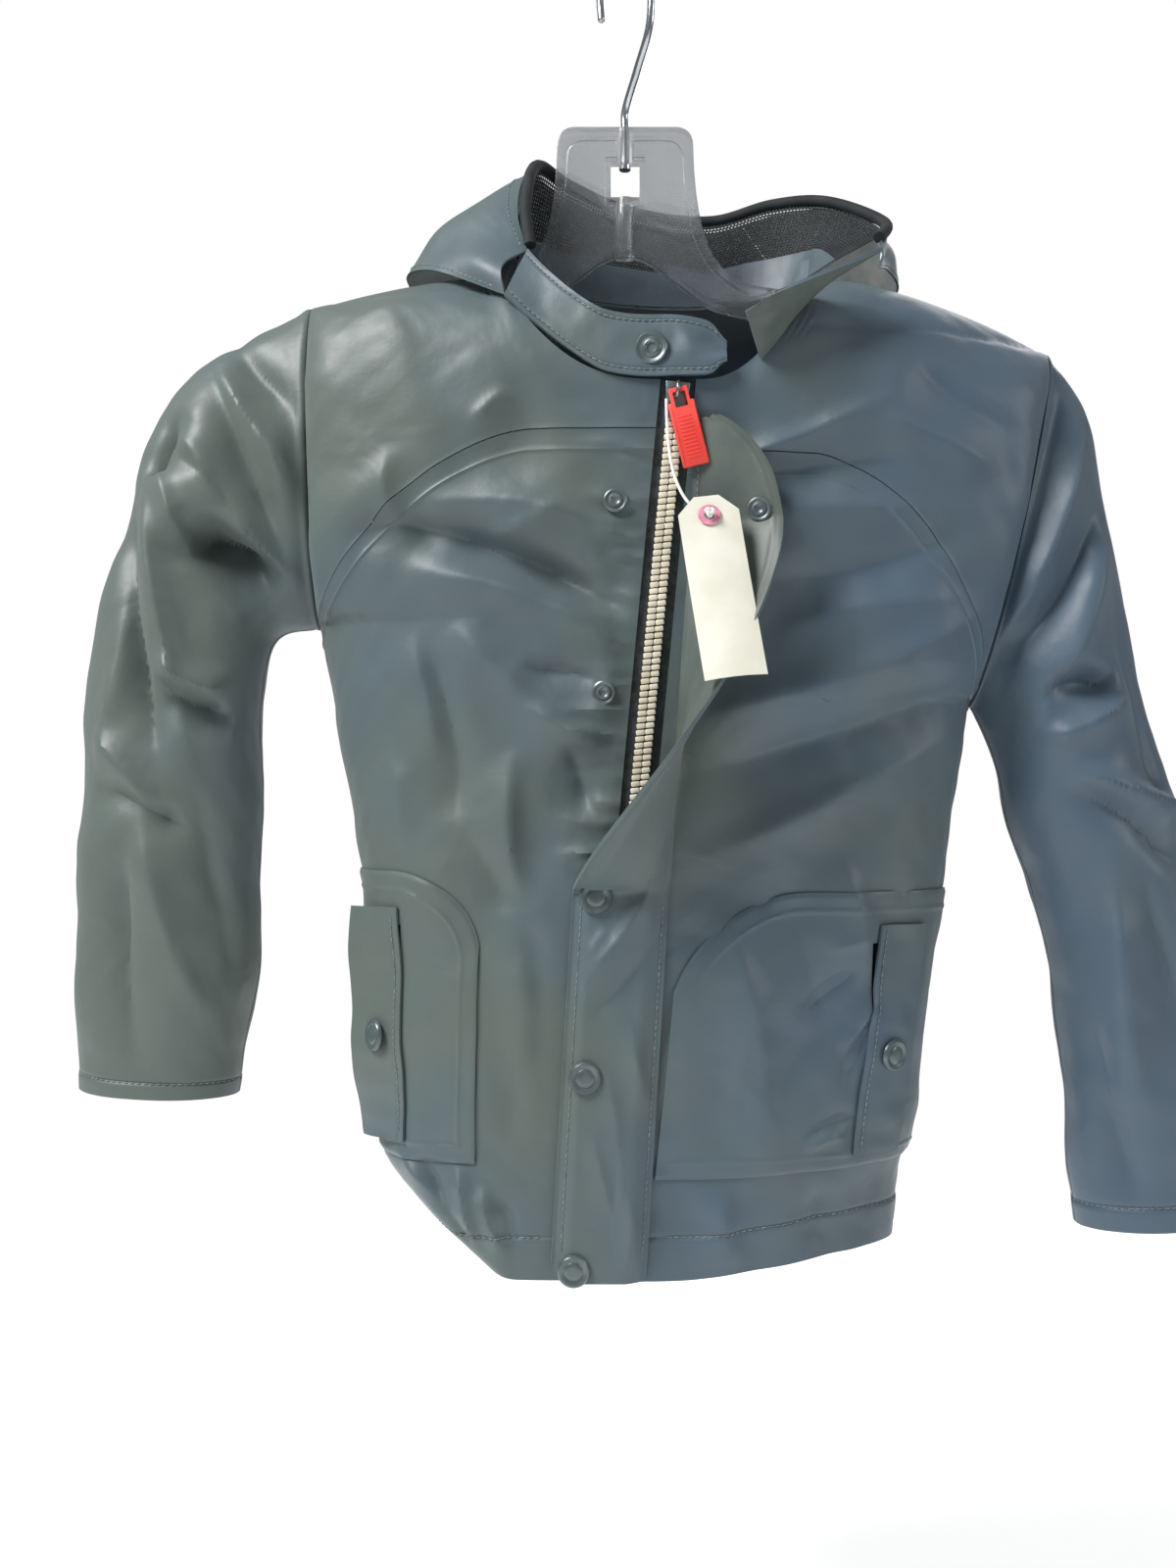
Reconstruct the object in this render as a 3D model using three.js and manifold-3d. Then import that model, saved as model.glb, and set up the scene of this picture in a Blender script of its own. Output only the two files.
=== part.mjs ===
// A child's coated foul weather jacket on a clear hanger, as it hangs from a rail.
// Millimetres. Origin: the inside top of the hanger hook. +X is the wearer's left, -Y the front, +Z up.
import * as THREE from "three";
import { mergeVertices } from "three/addons/utils/BufferGeometryUtils.js";
import Module from "manifold-3d";

const wasm = await Module();
wasm.setup();

// ---- driving dimensions ----
const CLOTH = 1.2; // coated fabric with its seam tape
const DOUBLE_CLOTH = 1.8; // two layers, as in the storm flap and the collar
const SEAM_GAP = 0.3; // between pieces that are sewn or welded together
const LIE_GAP = 0.4; // between a piece and the one it lies on

const HOOK_WIRE_R = 1.9;
const HOOK_R = 24; // centreline radius of the hook's bow
const HOOK_SHANK = 93; // from the inside top of the hook to the hanger's top edge
const HOOK_SWIVEL_DEG = 60; // how far the hook is turned on the hanger
const HOOK_HEAD_R = 2.9;
const SHANK_CLEARANCE = 0.3;

const PLATE_W = 66; // the hanger's top plate
const PLATE_T = 3;
const RIM_T = 6.6;
const RIM_W = 4.5;
const WINDOW_W = 14;
const WINDOW_H = 17;
const WINDOW_DROP = 17; // below the hanger's top edge
const WING_REACH = 146; // from the middle of the hanger to a wing's tip
const WING_DROP = 96; // from the hanger's top edge to the tip of a wing

const NECK_Z = -167; // where neck and shoulder seams meet
const FRONT_NECK_Z = -229;
const BACK_NECK_DIP = 7;
const HEM_Z = -640;
const FRONT_DEPTH = 60;
const BACK_DEPTH = 48;
const SHOULDER_ROLL = 66; // height over which the shoulders round off
const BACK_YOKE_H = 110;
const ZIP_TOP = [22.5, -230];
const ZIP_BOTTOM = [-15.5, -630];

const SIDES = {
  right: {
    sign: -1,
    neckShare: 0.5, // share of the front's width that the neckline takes
    shoulder: [-151, -181],
    armpit: [-147, -335],
    waist: [-125, -459],
    hem: [-114, -640],
    armholeDepth: 33,
    yokeHigh: -251,
    yokeLow: -337,
  },
  left: {
    sign: 1,
    neckShare: 0.3,
    shoulder: [203, -203],
    armpit: [166, -372],
    waist: [151, -462],
    hem: [127, -640],
    armholeDepth: 33,
    yokeHigh: -262,
    yokeLow: -366,
  },
};

const ZIP_TEETH_W = 8; // both rows together
const ZIP_TEETH_T = 3.2;
const ZIP_EXPOSED = 16; // width between the two front edges
const TAPE_W = 13;
const TAPE_T = 0.8;
const ROW_TOP = -12; // where the rows of teeth start, along the zip
const BOTTOM_BOX_H = 8;
const TEETH_SPLIT = 1.6; // room for the slider's wedge between the rows
const SLIDER_H = 17;
const SLIDER_W = 11;
const SLIDER_PLATE = 1.4;
const BRIDGE_R = 3.6; // the loop on the slider that carries the pull
const BRIDGE_WIRE_R = 0.8;
const BRIDGE_Z = -5; // its middle, along the zip
const PULL_W = 12;
const PULL_H = 36;
const PULL_T = 2.4;
const PULL_BAR = 2; // the bar at its top that goes through the bridge
const PULL_HOLE_W = 5.8;
const PULL_HOLE_H = 7;
const PULL_TILT_DEG = 14; // it hangs a little to the wearer's left

const FLAP_W = 43;
const FLAP_TOP = [31, -247];
const FLAP_BOTTOM = [8, -634];
const FLAP_LIFT = 4.2; // over the zip's teeth
const FLAP_OPEN_DEG = 165; // how far the unsnapped top is folded back
const TWIST_LOW_Z = -453;
const TWIST_HIGH_Z = -312;

const SNAP_R = 7.5;
const SNAP_T = 2.2;
const STUD_R = 5.5;
const STUD_T = 1.4;
const FIRST_SNAP_Z = -628;
const SNAP_PITCH = 86;
const STUD_COUNT = 5;
const SNAP_INSET = 8.5; // from the flap's free edge
const EYELET_R = 4.5;
const EYELET_HOLE_R = 2.2;

const POCKET = {
  right: { inner: 0.5, top: -450, bottom: -585, corner: 42 },
  left: { inner: 0.1, top: -459, bottom: -592, corner: 60 },
};
const POCKET_BAG_DEPTH = 8;
const POCKET_FLAP_W = 25;
const POCKET_FLAP_H = 108;
const POCKET_SLIT_W = 7;

const COLLAR_H = 28;
const LOOP_R = 1.3; // the hanging loop's rolled tape
const TAG_W = 27;
const TAG_H = 88;
const TAG_T = 0.6;
const STRING_R = 0.7;

// ---- colours ----
const finish = (color, roughness, metalness = 0) =>
  new THREE.MeshStandardMaterial({ color, roughness, metalness });
const shellGrey = () => finish(0x69777a, 0.45);
const linerGrey = () => finish(0x5c6668, 0.7);
const meshBlack = () => finish(0x1b242a, 0.9);
const snapGrey = () => finish(0x5f6d70, 0.35);
const teethBeige = () => finish(0xcfc5b2, 0.5);

const jacket = new THREE.Group();

function place(name, geometry, material, group = jacket) {
  const mesh = new THREE.Mesh(geometry, material);
  mesh.name = name;
  group.add(mesh);
  return mesh;
}

// ---- solids ----
const lerp = THREE.MathUtils.lerp;
const smooth = (x, from, to) => THREE.MathUtils.smoothstep(x, from, to);
const V = (x, y, z) => new THREE.Vector3(x, y, z);

function bare(geometry) {
  const plain = geometry.index ? geometry.toNonIndexed() : geometry.clone();
  plain.deleteAttribute("normal");
  plain.deleteAttribute("uv");
  return mergeVertices(plain, 1e-4);
}

function solid(geometry) {
  const merged = bare(geometry);
  return new wasm.Manifold(
    new wasm.Mesh({
      numProp: 3,
      vertProperties: new Float32Array(merged.attributes.position.array),
      triVerts: new Uint32Array(merged.index.array),
    }),
  );
}

function fromSolid(shape) {
  const mesh = shape.getMesh();
  const geometry = new THREE.BufferGeometry();
  const points = new Float32Array(mesh.numVert * 3);
  for (let i = 0; i < mesh.numVert; i++) {
    for (let k = 0; k < 3; k++) points[3 * i + k] = mesh.vertProperties[i * mesh.numProp + k];
  }
  geometry.setAttribute("position", new THREE.BufferAttribute(points, 3));
  geometry.setIndex(new THREE.BufferAttribute(new Uint32Array(mesh.triVerts), 1));
  geometry.computeVertexNormals();
  return geometry;
}

const cut = (geometry, ...tools) =>
  fromSolid(tools.reduce((whole, tool) => whole.subtract(solid(tool)), solid(geometry)));
const join = (first, ...others) =>
  fromSolid(others.reduce((whole, other) => whole.add(solid(other)), solid(first)));

// Turns a closed geometry's faces outwards.
function facingOut(geometry) {
  const p = geometry.attributes.position;
  const index = geometry.index;
  const [a, b, c] = [V(), V(), V()];
  let volume = 0;
  for (let i = 0; i < index.count; i += 3) {
    a.fromBufferAttribute(p, index.getX(i));
    b.fromBufferAttribute(p, index.getX(i + 1));
    c.fromBufferAttribute(p, index.getX(i + 2));
    volume += a.dot(b.cross(c));
  }
  if (volume < 0) {
    for (let i = 0; i < index.count; i += 3) {
      const second = index.getX(i + 1);
      index.setX(i + 1, index.getX(i + 2));
      index.setX(i + 2, second);
    }
  }
  geometry.computeVertexNormals();
  return geometry;
}

function normalOf(point, u, v) {
  const step = 0.004;
  const [u0, u1] = [Math.max(0, u - step), Math.min(1, u + step)];
  const [v0, v1] = [Math.max(0, v - step), Math.min(1, v + step)];
  const across = point(u1, v).sub(point(u0, v));
  const along = point(u, v1).sub(point(u, v0));
  return across.cross(along).normalize();
}

// A sheet of cloth. point(u, v, depth) is a point `depth` below its outer face.
function clothSheet(point, acrossSteps, alongSteps, thickness = CLOTH) {
  const box = new THREE.BoxGeometry(1, 1, 1, acrossSteps, alongSteps, 1);
  const position = box.attributes.position;
  for (let i = 0; i < position.count; i++) {
    const depth = (0.5 - position.getZ(i)) * thickness;
    const at = point(position.getX(i) + 0.5, position.getY(i) + 0.5, depth);
    position.setXYZ(i, at.x, at.y, at.z);
  }
  return facingOut(bare(box));
}

// Gives a surface point(u, v) a depth, measured away from the side that outside(at) looks to.
function thick(point, outside) {
  return (u, v, depth) => {
    const at = point(u, v);
    const normal = normalOf(point, u, v);
    if (normal.dot(outside(at)) < 0) normal.negate();
    return at.addScaledVector(normal, -depth);
  };
}

function boxAt(w, d, h, x, y, z) {
  return new THREE.BoxGeometry(w, d, h).translate(x, y, z);
}

function rail(points) {
  return new THREE.CatmullRomCurve3(points.map(([x, y, z]) => V(x, y, z)), false, "centripetal");
}

// Turns a geometry that faces +Z so that it faces `normal`, and moves it to `at`.
function facing(geometry, at, normal) {
  const turn = new THREE.Quaternion().setFromUnitVectors(V(0, 0, 1), normal);
  return geometry.applyQuaternion(turn).translate(at.x, at.y, at.z);
}

// ---- the torso's form ----
const alongLine = (from, to, z) => lerp(from[0], to[0], (z - from[1]) / (to[1] - from[1]));
const zipX = (z) => alongLine(ZIP_TOP, ZIP_BOTTOM, z);

function edgeX(side, z) {
  if (z > side.armpit[1]) return alongLine(side.shoulder, side.armpit, z);
  if (z > side.waist[1]) return alongLine(side.armpit, side.waist, z);
  return alongLine(side.waist, side.hem, z);
}

function armholeY(side, z) {
  const half = (side.shoulder[1] - side.armpit[1]) / 2;
  const share = (z - side.armpit[1] - half) / half;
  return Math.abs(share) >= 1 ? 0 : side.armholeDepth * Math.sqrt(1 - share * share);
}

const fullness = 0.77; // how squarely the torso's section turns at the sides
const quarter = (s) => (Math.PI / 2) * Math.min(Math.max(s, 0), 1);
const breadth = (s) => Math.pow(Math.sin(quarter(s)), fullness);
const depthShare = (s) => Math.pow(Math.cos(quarter(s)), fullness);
const toShare = (w) => (2 / Math.PI) * Math.asin(Math.pow(Math.min(Math.max(w, 0), 1), 1 / fullness));

function shoulderZ(side, w) {
  const share = Math.max(0, (w - side.neckShare) / (1 - side.neckShare));
  return lerp(NECK_Z, side.shoulder[1], Math.pow(share, 1.5));
}

function frontTop(side, s) {
  const w = breadth(s);
  if (w >= side.neckShare) return shoulderZ(side, w);
  return lerp(FRONT_NECK_Z, NECK_Z, Math.pow(w / side.neckShare, 2.6));
}

function roll(side, w, z) {
  const drop = Math.min(Math.max(shoulderZ(side, w) - z, 0) / SHOULDER_ROLL, 1);
  return Math.sqrt(1 - (1 - drop) * (1 - drop));
}

// Moves a point of a half of the torso off its surface, and keeps it on its own side of the seams.
function liftOff(surface, a, z, lift, front) {
  const at = surface(a, z);
  if (lift !== 0) {
    const across = surface(a + 0.002, z).sub(surface(a - 0.002, z));
    const along = surface(a, z + 0.2).sub(surface(a, z - 0.2));
    const normal = across.cross(along).normalize();
    if (normal.dot(V((at.x - 10) * 0.2, at.y, 1)) < 0) normal.negate();
    at.addScaledVector(normal, lift);
  }
  at.y = front ? Math.min(at.y, -SEAM_GAP / 2) : Math.max(at.y, SEAM_GAP / 2);
  return at;
}

// A point of a front: s runs from the zip (0) to the side seam or armhole (1).
function frontPoint(side, s, z, lift = 0) {
  const surface = (a, height) => {
    const w = breadth(a);
    const start = zipX(height) + side.sign * (ZIP_EXPOSED / 2);
    const edgeY = armholeY(side, height);
    const y = edgeY + roll(side, w, height) * (FRONT_DEPTH - edgeY) * depthShare(a);
    return V(lerp(start, edgeX(side, height), w), -y - SEAM_GAP / 2, height);
  };
  return liftOff(surface, s, z, lift, true);
}

// A point of the back: q runs from the right edge (-1) to the left edge (1).
function backPoint(q, z, lift = 0) {
  const surface = (a, height) => {
    const side = a < 0 ? SIDES.right : SIDES.left;
    const middle = (edgeX(SIDES.right, height) + edgeX(SIDES.left, height)) / 2;
    const w = breadth(Math.abs(a));
    const edgeY = armholeY(side, height);
    const y = edgeY + roll(side, w, height) * (BACK_DEPTH - edgeY) * depthShare(Math.abs(a));
    return V(lerp(middle, edgeX(side, height), w), y + SEAM_GAP / 2, height);
  };
  return liftOff(surface, q, z, lift, false);
}

function backTop(q) {
  const side = q < 0 ? SIDES.right : SIDES.left;
  const w = breadth(Math.abs(q));
  if (w >= side.neckShare) return shoulderZ(side, w);
  return NECK_Z - BACK_NECK_DIP * Math.cos((Math.PI / 2) * (w / side.neckShare));
}

const yokeZ = (side, s) => lerp(side.yokeHigh, side.yokeLow, smooth(breadth(s), 0.5, 0.9));

function makeFronts() {
  for (const [name, side] of Object.entries(SIDES)) {
    const lower = (u, v, depth) => frontPoint(side, u, lerp(HEM_Z, yokeZ(side, u) - SEAM_GAP, v), -depth);
    const upper = (u, v, depth) =>
      frontPoint(side, u, lerp(yokeZ(side, u) + SEAM_GAP, frontTop(side, u), v), -depth);
    const panel = clothSheet(lower, 12, 11);
    place(`${name}_front_panel`, cut(panel, pocketSlit(name)), shellGrey());
    place(`${name}_front_yoke`, clothSheet(upper, 12, 8), shellGrey());
  }
}

function makeBack() {
  const seam = NECK_Z - BACK_YOKE_H;
  const lower = (u, v, depth) => backPoint(2 * u - 1, lerp(HEM_Z, seam - SEAM_GAP / 2, v), -depth);
  const upper = (u, v, depth) =>
    backPoint(2 * u - 1, lerp(seam + SEAM_GAP / 2, backTop(2 * u - 1), v), -depth);
  place("back_panel", clothSheet(lower, 18, 10), shellGrey());
  place("back_yoke", clothSheet(upper, 20, 8), shellGrey());
}

// ---- pockets ----
const POCKET_FLAP_SHARE = { right: 0.82, left: 0.76 }; // where a flap's hinge edge lies across the front
const POCKET_SLIT_OFFSET = 4; // from the flap's hinge edge to the pocket's mouth
const PATCH_LIFT = CLOTH + LIE_GAP + 0.1; // of a patch's outer face

function pocketFlapEdge(name) {
  const side = SIDES[name];
  const middleZ = (POCKET[name].top + POCKET[name].bottom) / 2 - 4;
  return { side, middleZ, share: toShare(POCKET_FLAP_SHARE[name]) };
}

// The share across a front that lies `length` further round than `share`.
function furtherRound(side, z, share, length) {
  const step = 0.004;
  let gone = 0;
  let at = share;
  while (gone < length && at + step < 1) {
    gone += frontPoint(side, at, z).distanceTo(frontPoint(side, at + step, z));
    at += step;
  }
  return at;
}

function pocketSlit(name) {
  const { side, middleZ, share } = pocketFlapEdge(name);
  const middle = furtherRound(side, middleZ, share, POCKET_SLIT_OFFSET + POCKET_SLIT_W / 2);
  const at = frontPoint(side, middle, middleZ);
  return boxAt(POCKET_SLIT_W, 16, POCKET_FLAP_H - 16, at.x, at.y, middleZ);
}

function pocketSheet(name, lift, inset, rounded) {
  const side = SIDES[name];
  const { inner, top, bottom, corner } = POCKET[name];
  const low = toShare(inner) + inset / 160;
  const high = 1 - inset / 120;
  return (u, v, depth) => {
    const s = lerp(low, high, u);
    const near = Math.min((frontPoint(side, s, top).x - frontPoint(side, low, top).x) * side.sign, corner);
    const fall = rounded ? corner - Math.sqrt(corner * corner - (corner - near) * (corner - near)) : 0;
    const z = lerp(bottom + inset, top - inset - fall, v);
    return frontPoint(side, s, z, lift(u, v) - depth);
  };
}

function makePockets() {
  const edge = (t) => Math.min(1, 5 * Math.min(t, 1 - t));
  for (const name of Object.keys(SIDES)) {
    const patch = clothSheet(pocketSheet(name, () => PATCH_LIFT, 1, true), 10, 8);
    place(`${name}_pocket_patch`, cut(patch, pocketSlit(name)), shellGrey());
    const dish = (u, v) => -CLOTH - LIE_GAP - POCKET_BAG_DEPTH * edge(u) * edge(v);
    const bag = clothSheet(pocketSheet(name, dish, 12, false), 10, 10, 0.8);
    place(`${name}_pocket_bag`, bag, linerGrey());
  }
}

function makePocketFlaps() {
  for (const name of Object.keys(SIDES)) {
    const { side, middleZ, share } = pocketFlapEdge(name);
    const lift = PATCH_LIFT + LIE_GAP + CLOTH;
    const far = furtherRound(side, middleZ, share, POCKET_FLAP_W);
    const flap = (u, v, depth = 0) => {
      const z = middleZ + (v - 0.5) * POCKET_FLAP_H;
      return frontPoint(side, lerp(share, far, u), z, lift - depth);
    };
    place(`${name}_pocket_flap`, clothSheet(flap, 5, 5), shellGrey());
    const [at, under] = [flap(0.5, 0.45), flap(0.5, 0.45, 1)];
    const normal = at.clone().sub(under).normalize();
    place(`${name}_pocket_snap`, facing(snapCap(), at.addScaledVector(normal, LIE_GAP), normal), snapGrey());
  }
}

// ---- snaps and eyelets ----
function lathe(profile, sides = 12) {
  const points = profile.map(([r, z]) => new THREE.Vector2(r, z));
  return new THREE.LatheGeometry(points, sides).rotateX(Math.PI / 2);
}

function snapCap() {
  const [rim, top] = [SNAP_R, SNAP_T];
  const dish = top - 0.5;
  return lathe([[0, 0], [rim, 0], [rim, top / 2], [rim - 1.2, top], [rim - 3, dish], [0, dish], [0, 0]]);
}

function stud() {
  const [r, top] = [STUD_R, STUD_T];
  return lathe([[0, 0], [r, 0], [r, top / 2], [r / 2, top], [0, top], [0, 0]]);
}

function eyelet() {
  const [r, hole, top] = [EYELET_R, EYELET_HOLE_R, 1];
  return lathe([[hole, 0], [r, 0], [r - 0.6, top], [hole + 0.3, top], [hole, 0]]);
}

function onFront(name, side, x, z, geometry) {
  const start = zipX(z) + side.sign * (ZIP_EXPOSED / 2);
  const s = toShare((x - start) / (edgeX(side, z) - start));
  const [at, above] = [frontPoint(side, s, z), frontPoint(side, s, z, 1)];
  const normal = above.sub(at).normalize();
  place(name, facing(geometry, at.addScaledVector(normal, LIE_GAP), normal), snapGrey());
}

const flapX = (z) => alongLine(FLAP_TOP, FLAP_BOTTOM, z);
const snapX = (z) => flapX(z) - FLAP_W + SNAP_INSET;
const snapZ = (n) => FIRST_SNAP_Z + n * SNAP_PITCH;

function makeStuds() {
  for (let n = 0; n < STUD_COUNT; n++) {
    const z = snapZ(n);
    onFront(`front_stud_${n + 1}`, SIDES.right, snapX(z), z, stud());
  }
}

function makeEyelets() {
  for (const [name, side] of Object.entries(SIDES)) {
    for (let n = 0; n < 2; n++) {
      const z = side.armpit[1] - 20 - 22 * n;
      const q = side.sign * 0.88;
      const [at, above] = [backPoint(q, z), backPoint(q, z, 1)];
      const normal = above.sub(at).normalize();
      const ring = facing(eyelet(), at.addScaledVector(normal, LIE_GAP), normal);
      place(`${name}_vent_eyelet_${n + 1}`, ring, snapGrey());
    }
  }
}

// ---- zip ----
const ZIP_LENGTH = Math.hypot(ZIP_TOP[0] - ZIP_BOTTOM[0], ZIP_TOP[1] - ZIP_BOTTOM[1]);
const ZIP_LEAN = Math.atan2(ZIP_TOP[0] - ZIP_BOTTOM[0], ZIP_TOP[1] - ZIP_BOTTOM[1]);
const PANEL_FACE = -FRONT_DEPTH - SEAM_GAP / 2;
const TAPE_FRONT = PANEL_FACE + CLOTH + LIE_GAP;
const TEETH_BACK = TAPE_FRONT - LIE_GAP;
const TEETH_FRONT = TEETH_BACK - ZIP_TEETH_T;

// Places a geometry, drawn about the zip's top end with the zip running down -Z, along the zip.
function alongZip(geometry) {
  return geometry.rotateY(ZIP_LEAN).translate(ZIP_TOP[0], 0, ZIP_TOP[1]);
}

function makeZip() {
  const teethY = (TEETH_FRONT + TEETH_BACK) / 2;
  const rowW = (ZIP_TEETH_W - TEETH_SPLIT) / 2;
  const rowBottom = -ZIP_LENGTH + BOTTOM_BOX_H + 2 * SEAM_GAP;
  const rowH = ROW_TOP - rowBottom;
  for (const [name, side] of Object.entries(SIDES)) {
    const tapeX = side.sign * (SEAM_GAP + TAPE_W / 2);
    const tape = boxAt(TAPE_W, TAPE_T, ZIP_LENGTH, tapeX, TAPE_FRONT + TAPE_T / 2, -ZIP_LENGTH / 2);
    place(`${name}_zip_tape`, alongZip(tape), finish(0x3f4648, 0.9));
    const rowX = side.sign * (TEETH_SPLIT / 2 + rowW / 2);
    const row = boxAt(rowW, ZIP_TEETH_T, rowH, rowX, teethY, ROW_TOP - rowH / 2);
    place(`${name}_zip_teeth`, alongZip(row), teethBeige());
  }
  const boxZ = -ZIP_LENGTH + BOTTOM_BOX_H / 2;
  const box = boxAt(ZIP_TEETH_W + 1, ZIP_TEETH_T, BOTTOM_BOX_H, 0, teethY, boxZ);
  place("zip_bottom_box", alongZip(box), teethBeige());
}

const SLIDER_FRONT = TEETH_FRONT - SEAM_GAP - SLIDER_PLATE;
const SLIDER_Z = -9.5; // its middle, along the zip
const BRIDGE_Y = SLIDER_FRONT - 0.4;

function makeSlider() {
  const back = TAPE_FRONT + TAPE_T + SEAM_GAP + SLIDER_PLATE;
  const front = boxAt(SLIDER_W, SLIDER_PLATE, SLIDER_H, 0, SLIDER_FRONT + SLIDER_PLATE / 2, SLIDER_Z);
  const rear = boxAt(SLIDER_W, SLIDER_PLATE, SLIDER_H, 0, back - SLIDER_PLATE / 2, SLIDER_Z);
  const wedgeH = 4;
  const wedgeZ = SLIDER_Z + (SLIDER_H - wedgeH) / 2;
  const wedge = boxAt(0.5, back - SLIDER_FRONT, wedgeH, 0, (back + SLIDER_FRONT) / 2, wedgeZ);
  const ring = new THREE.TorusGeometry(BRIDGE_R, BRIDGE_WIRE_R, 6, 14).rotateY(Math.PI / 2);
  ring.translate(0, BRIDGE_Y, BRIDGE_Z);
  const hidden = 3 * BRIDGE_R; // the ring ends inside the front plate
  const behind = boxAt(hidden, hidden, hidden, 0, SLIDER_FRONT + SLIDER_PLATE / 2 + hidden / 2, BRIDGE_Z);
  place("zip_slider", alongZip(join(front, rear, wedge, cut(ring, behind))), finish(0x8d9391, 0.35, 0.8));
}

const BRIDGE_X = ZIP_TOP[0] + BRIDGE_Z * Math.sin(ZIP_LEAN);
const PULL_Z = ZIP_TOP[1] + BRIDGE_Z * Math.cos(ZIP_LEAN); // the middle of its bar
const PULL_BACK = SLIDER_FRONT - LIE_GAP;

// A frame of straight lines through [x, z] corners.
function cornered(Kind, corners) {
  return new Kind(corners.map(([x, z]) => new THREE.Vector2(x, z)));
}

function makePull() {
  const half = PULL_W / 2;
  const neck = half - 1.7;
  const top = PULL_BAR / 2;
  const shoulder = top - PULL_BAR - PULL_HOLE_H / 2;
  const bottom = top - PULL_H;
  const outline = cornered(THREE.Shape, [
    [-half, bottom], [half, bottom], [half, shoulder - 2], [neck, shoulder], [neck, top],
    [-neck, top], [-neck, shoulder], [-half, shoulder - 2],
  ]);
  const [side, low] = [PULL_HOLE_W / 2, top - PULL_BAR - PULL_HOLE_H];
  outline.holes.push(cornered(THREE.Path, [[-side, low], [side, low], [side, -top], [-side, -top]]));
  const tab = new THREE.ExtrudeGeometry(outline, { depth: PULL_T, bevelEnabled: false });
  tab.rotateX(Math.PI / 2).rotateY(-THREE.MathUtils.degToRad(PULL_TILT_DEG));
  place("zip_pull", tab.translate(BRIDGE_X, PULL_BACK, PULL_Z), finish(0xf2524a, 0.45));
}

// ---- storm flap ----
const FLAP_INNER = PANEL_FACE - LIE_GAP;
const FLAP_AXIS_Y = FLAP_INNER - DOUBLE_CLOTH / 2;

function flapPoint(z, across, open, depth = 0) {
  const flatness = 1 - open / FLAP_OPEN_DEG;
  const lift = FLAP_LIFT * flatness * smooth(across, 0, 0.25) * (1 - smooth(across, 0.8, 1));
  const flat = V(-across * FLAP_W, depth - DOUBLE_CLOTH / 2 - lift, 0);
  flat.applyAxisAngle(V(0, 0, 1), THREE.MathUtils.degToRad(open));
  return V(flapX(z) + flat.x, FLAP_AXIS_Y + flat.y, z);
}

function flapSheet(low, high, angle, steps) {
  const point = (u, v, depth) => {
    const z = lerp(low, high, v);
    return flapPoint(z, u, angle(z), depth);
  };
  return clothSheet(point, 8, steps, DOUBLE_CLOTH);
}

const twist = (z) => FLAP_OPEN_DEG * smooth(z, TWIST_LOW_Z, TWIST_HIGH_Z);

function makeFlapCloth() {
  const gap = SEAM_GAP / 2;
  const shut = () => 0;
  const open = () => FLAP_OPEN_DEG;
  const lower = flapSheet(FLAP_BOTTOM[1], TWIST_LOW_Z - gap, shut, 10);
  const twisted = flapSheet(TWIST_LOW_Z + gap, TWIST_HIGH_Z - gap, twist, 16);
  const upper = flapSheet(TWIST_HIGH_Z + gap, FLAP_TOP[1], open, 5);
  place("storm_flap_lower", lower, shellGrey());
  place("storm_flap_twist", twisted, shellGrey());
  place("storm_flap_upper", upper, shellGrey());
}

function makeFlapSnaps() {
  const across = (FLAP_W - SNAP_INSET) / FLAP_W;
  const heights = [snapZ(0), snapZ(1), TWIST_LOW_Z - SNAP_R - 1];
  heights.forEach((z, n) => {
    const at = flapPoint(z, across - 0.04, 0).add(V(0, -LIE_GAP, 0));
    place(`flap_snap_${n + 1}`, facing(snapCap(), at, V(0, -1, 0)), snapGrey());
  });
  const socketZ = lerp(TWIST_HIGH_Z, FLAP_TOP[1], 0.62);
  const open = THREE.MathUtils.degToRad(FLAP_OPEN_DEG);
  const inward = V(0, 1, 0).applyAxisAngle(V(0, 0, 1), open);
  const at = flapPoint(socketZ, across, FLAP_OPEN_DEG).addScaledVector(inward, DOUBLE_CLOTH + LIE_GAP);
  place("flap_socket", facing(stud(), at, inward), snapGrey());
}

// ---- sleeves ----
const SLEEVE = {
  right: {
    outer: [[-209, -211], [-229, -245], [-252, -320], [-264, -434], [-266, -500], [-264, -559]],
    inner: [[-170, -343], [-176, -372], [-176, -410], [-178, -458], [-179, -508], [-188, -562]],
    depth: [33, 37, 38, 37, 35, 33, 30],
  },
  left: {
    outer: [[221, -232], [230, -275], [240, -325], [256, -385], [276, -470], [292, -545], [301, -620]],
    inner: [[174, -388], [182, -408], [186, -430], [196, -458], [208, -500], [213, -555], [219, -626]],
    depth: [33, 37, 38, 38, 37, 35, 33, 31],
  },
};
const SLEEVE_L = 440; // along the outer side, for the cuff's share of it
const CUFF_H = 12;

function sleevePoint(name) {
  const side = SIDES[name];
  const sleeve = SLEEVE[name];
  const gap = side.sign * 2 * SEAM_GAP;
  const outer = rail([side.shoulder, ...sleeve.outer].map(([x, z], i) => [x + (i ? 0 : gap), 0, z]));
  const inner = rail([side.armpit, ...sleeve.inner].map(([x, z], i) => [x + (i ? 0 : gap), 0, z]));
  const depths = sleeve.depth;
  return (u, t, lift = 0) => {
    const turn = 2 * Math.PI * u + Math.PI;
    const [top, bottom] = [outer.getPoint(t), inner.getPoint(t)];
    const middle = top.clone().add(bottom).multiplyScalar(0.5);
    const reach = top.clone().sub(bottom).multiplyScalar(0.5);
    const along = t * (depths.length - 1);
    const step = Math.min(Math.floor(along), depths.length - 2);
    const depth = lerp(depths[step], depths[step + 1], along - step) + lift;
    reach.setLength(reach.length() + lift);
    return middle.addScaledVector(reach, Math.cos(turn)).add(V(0, -depth * Math.sin(turn), 0));
  };
}

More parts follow.
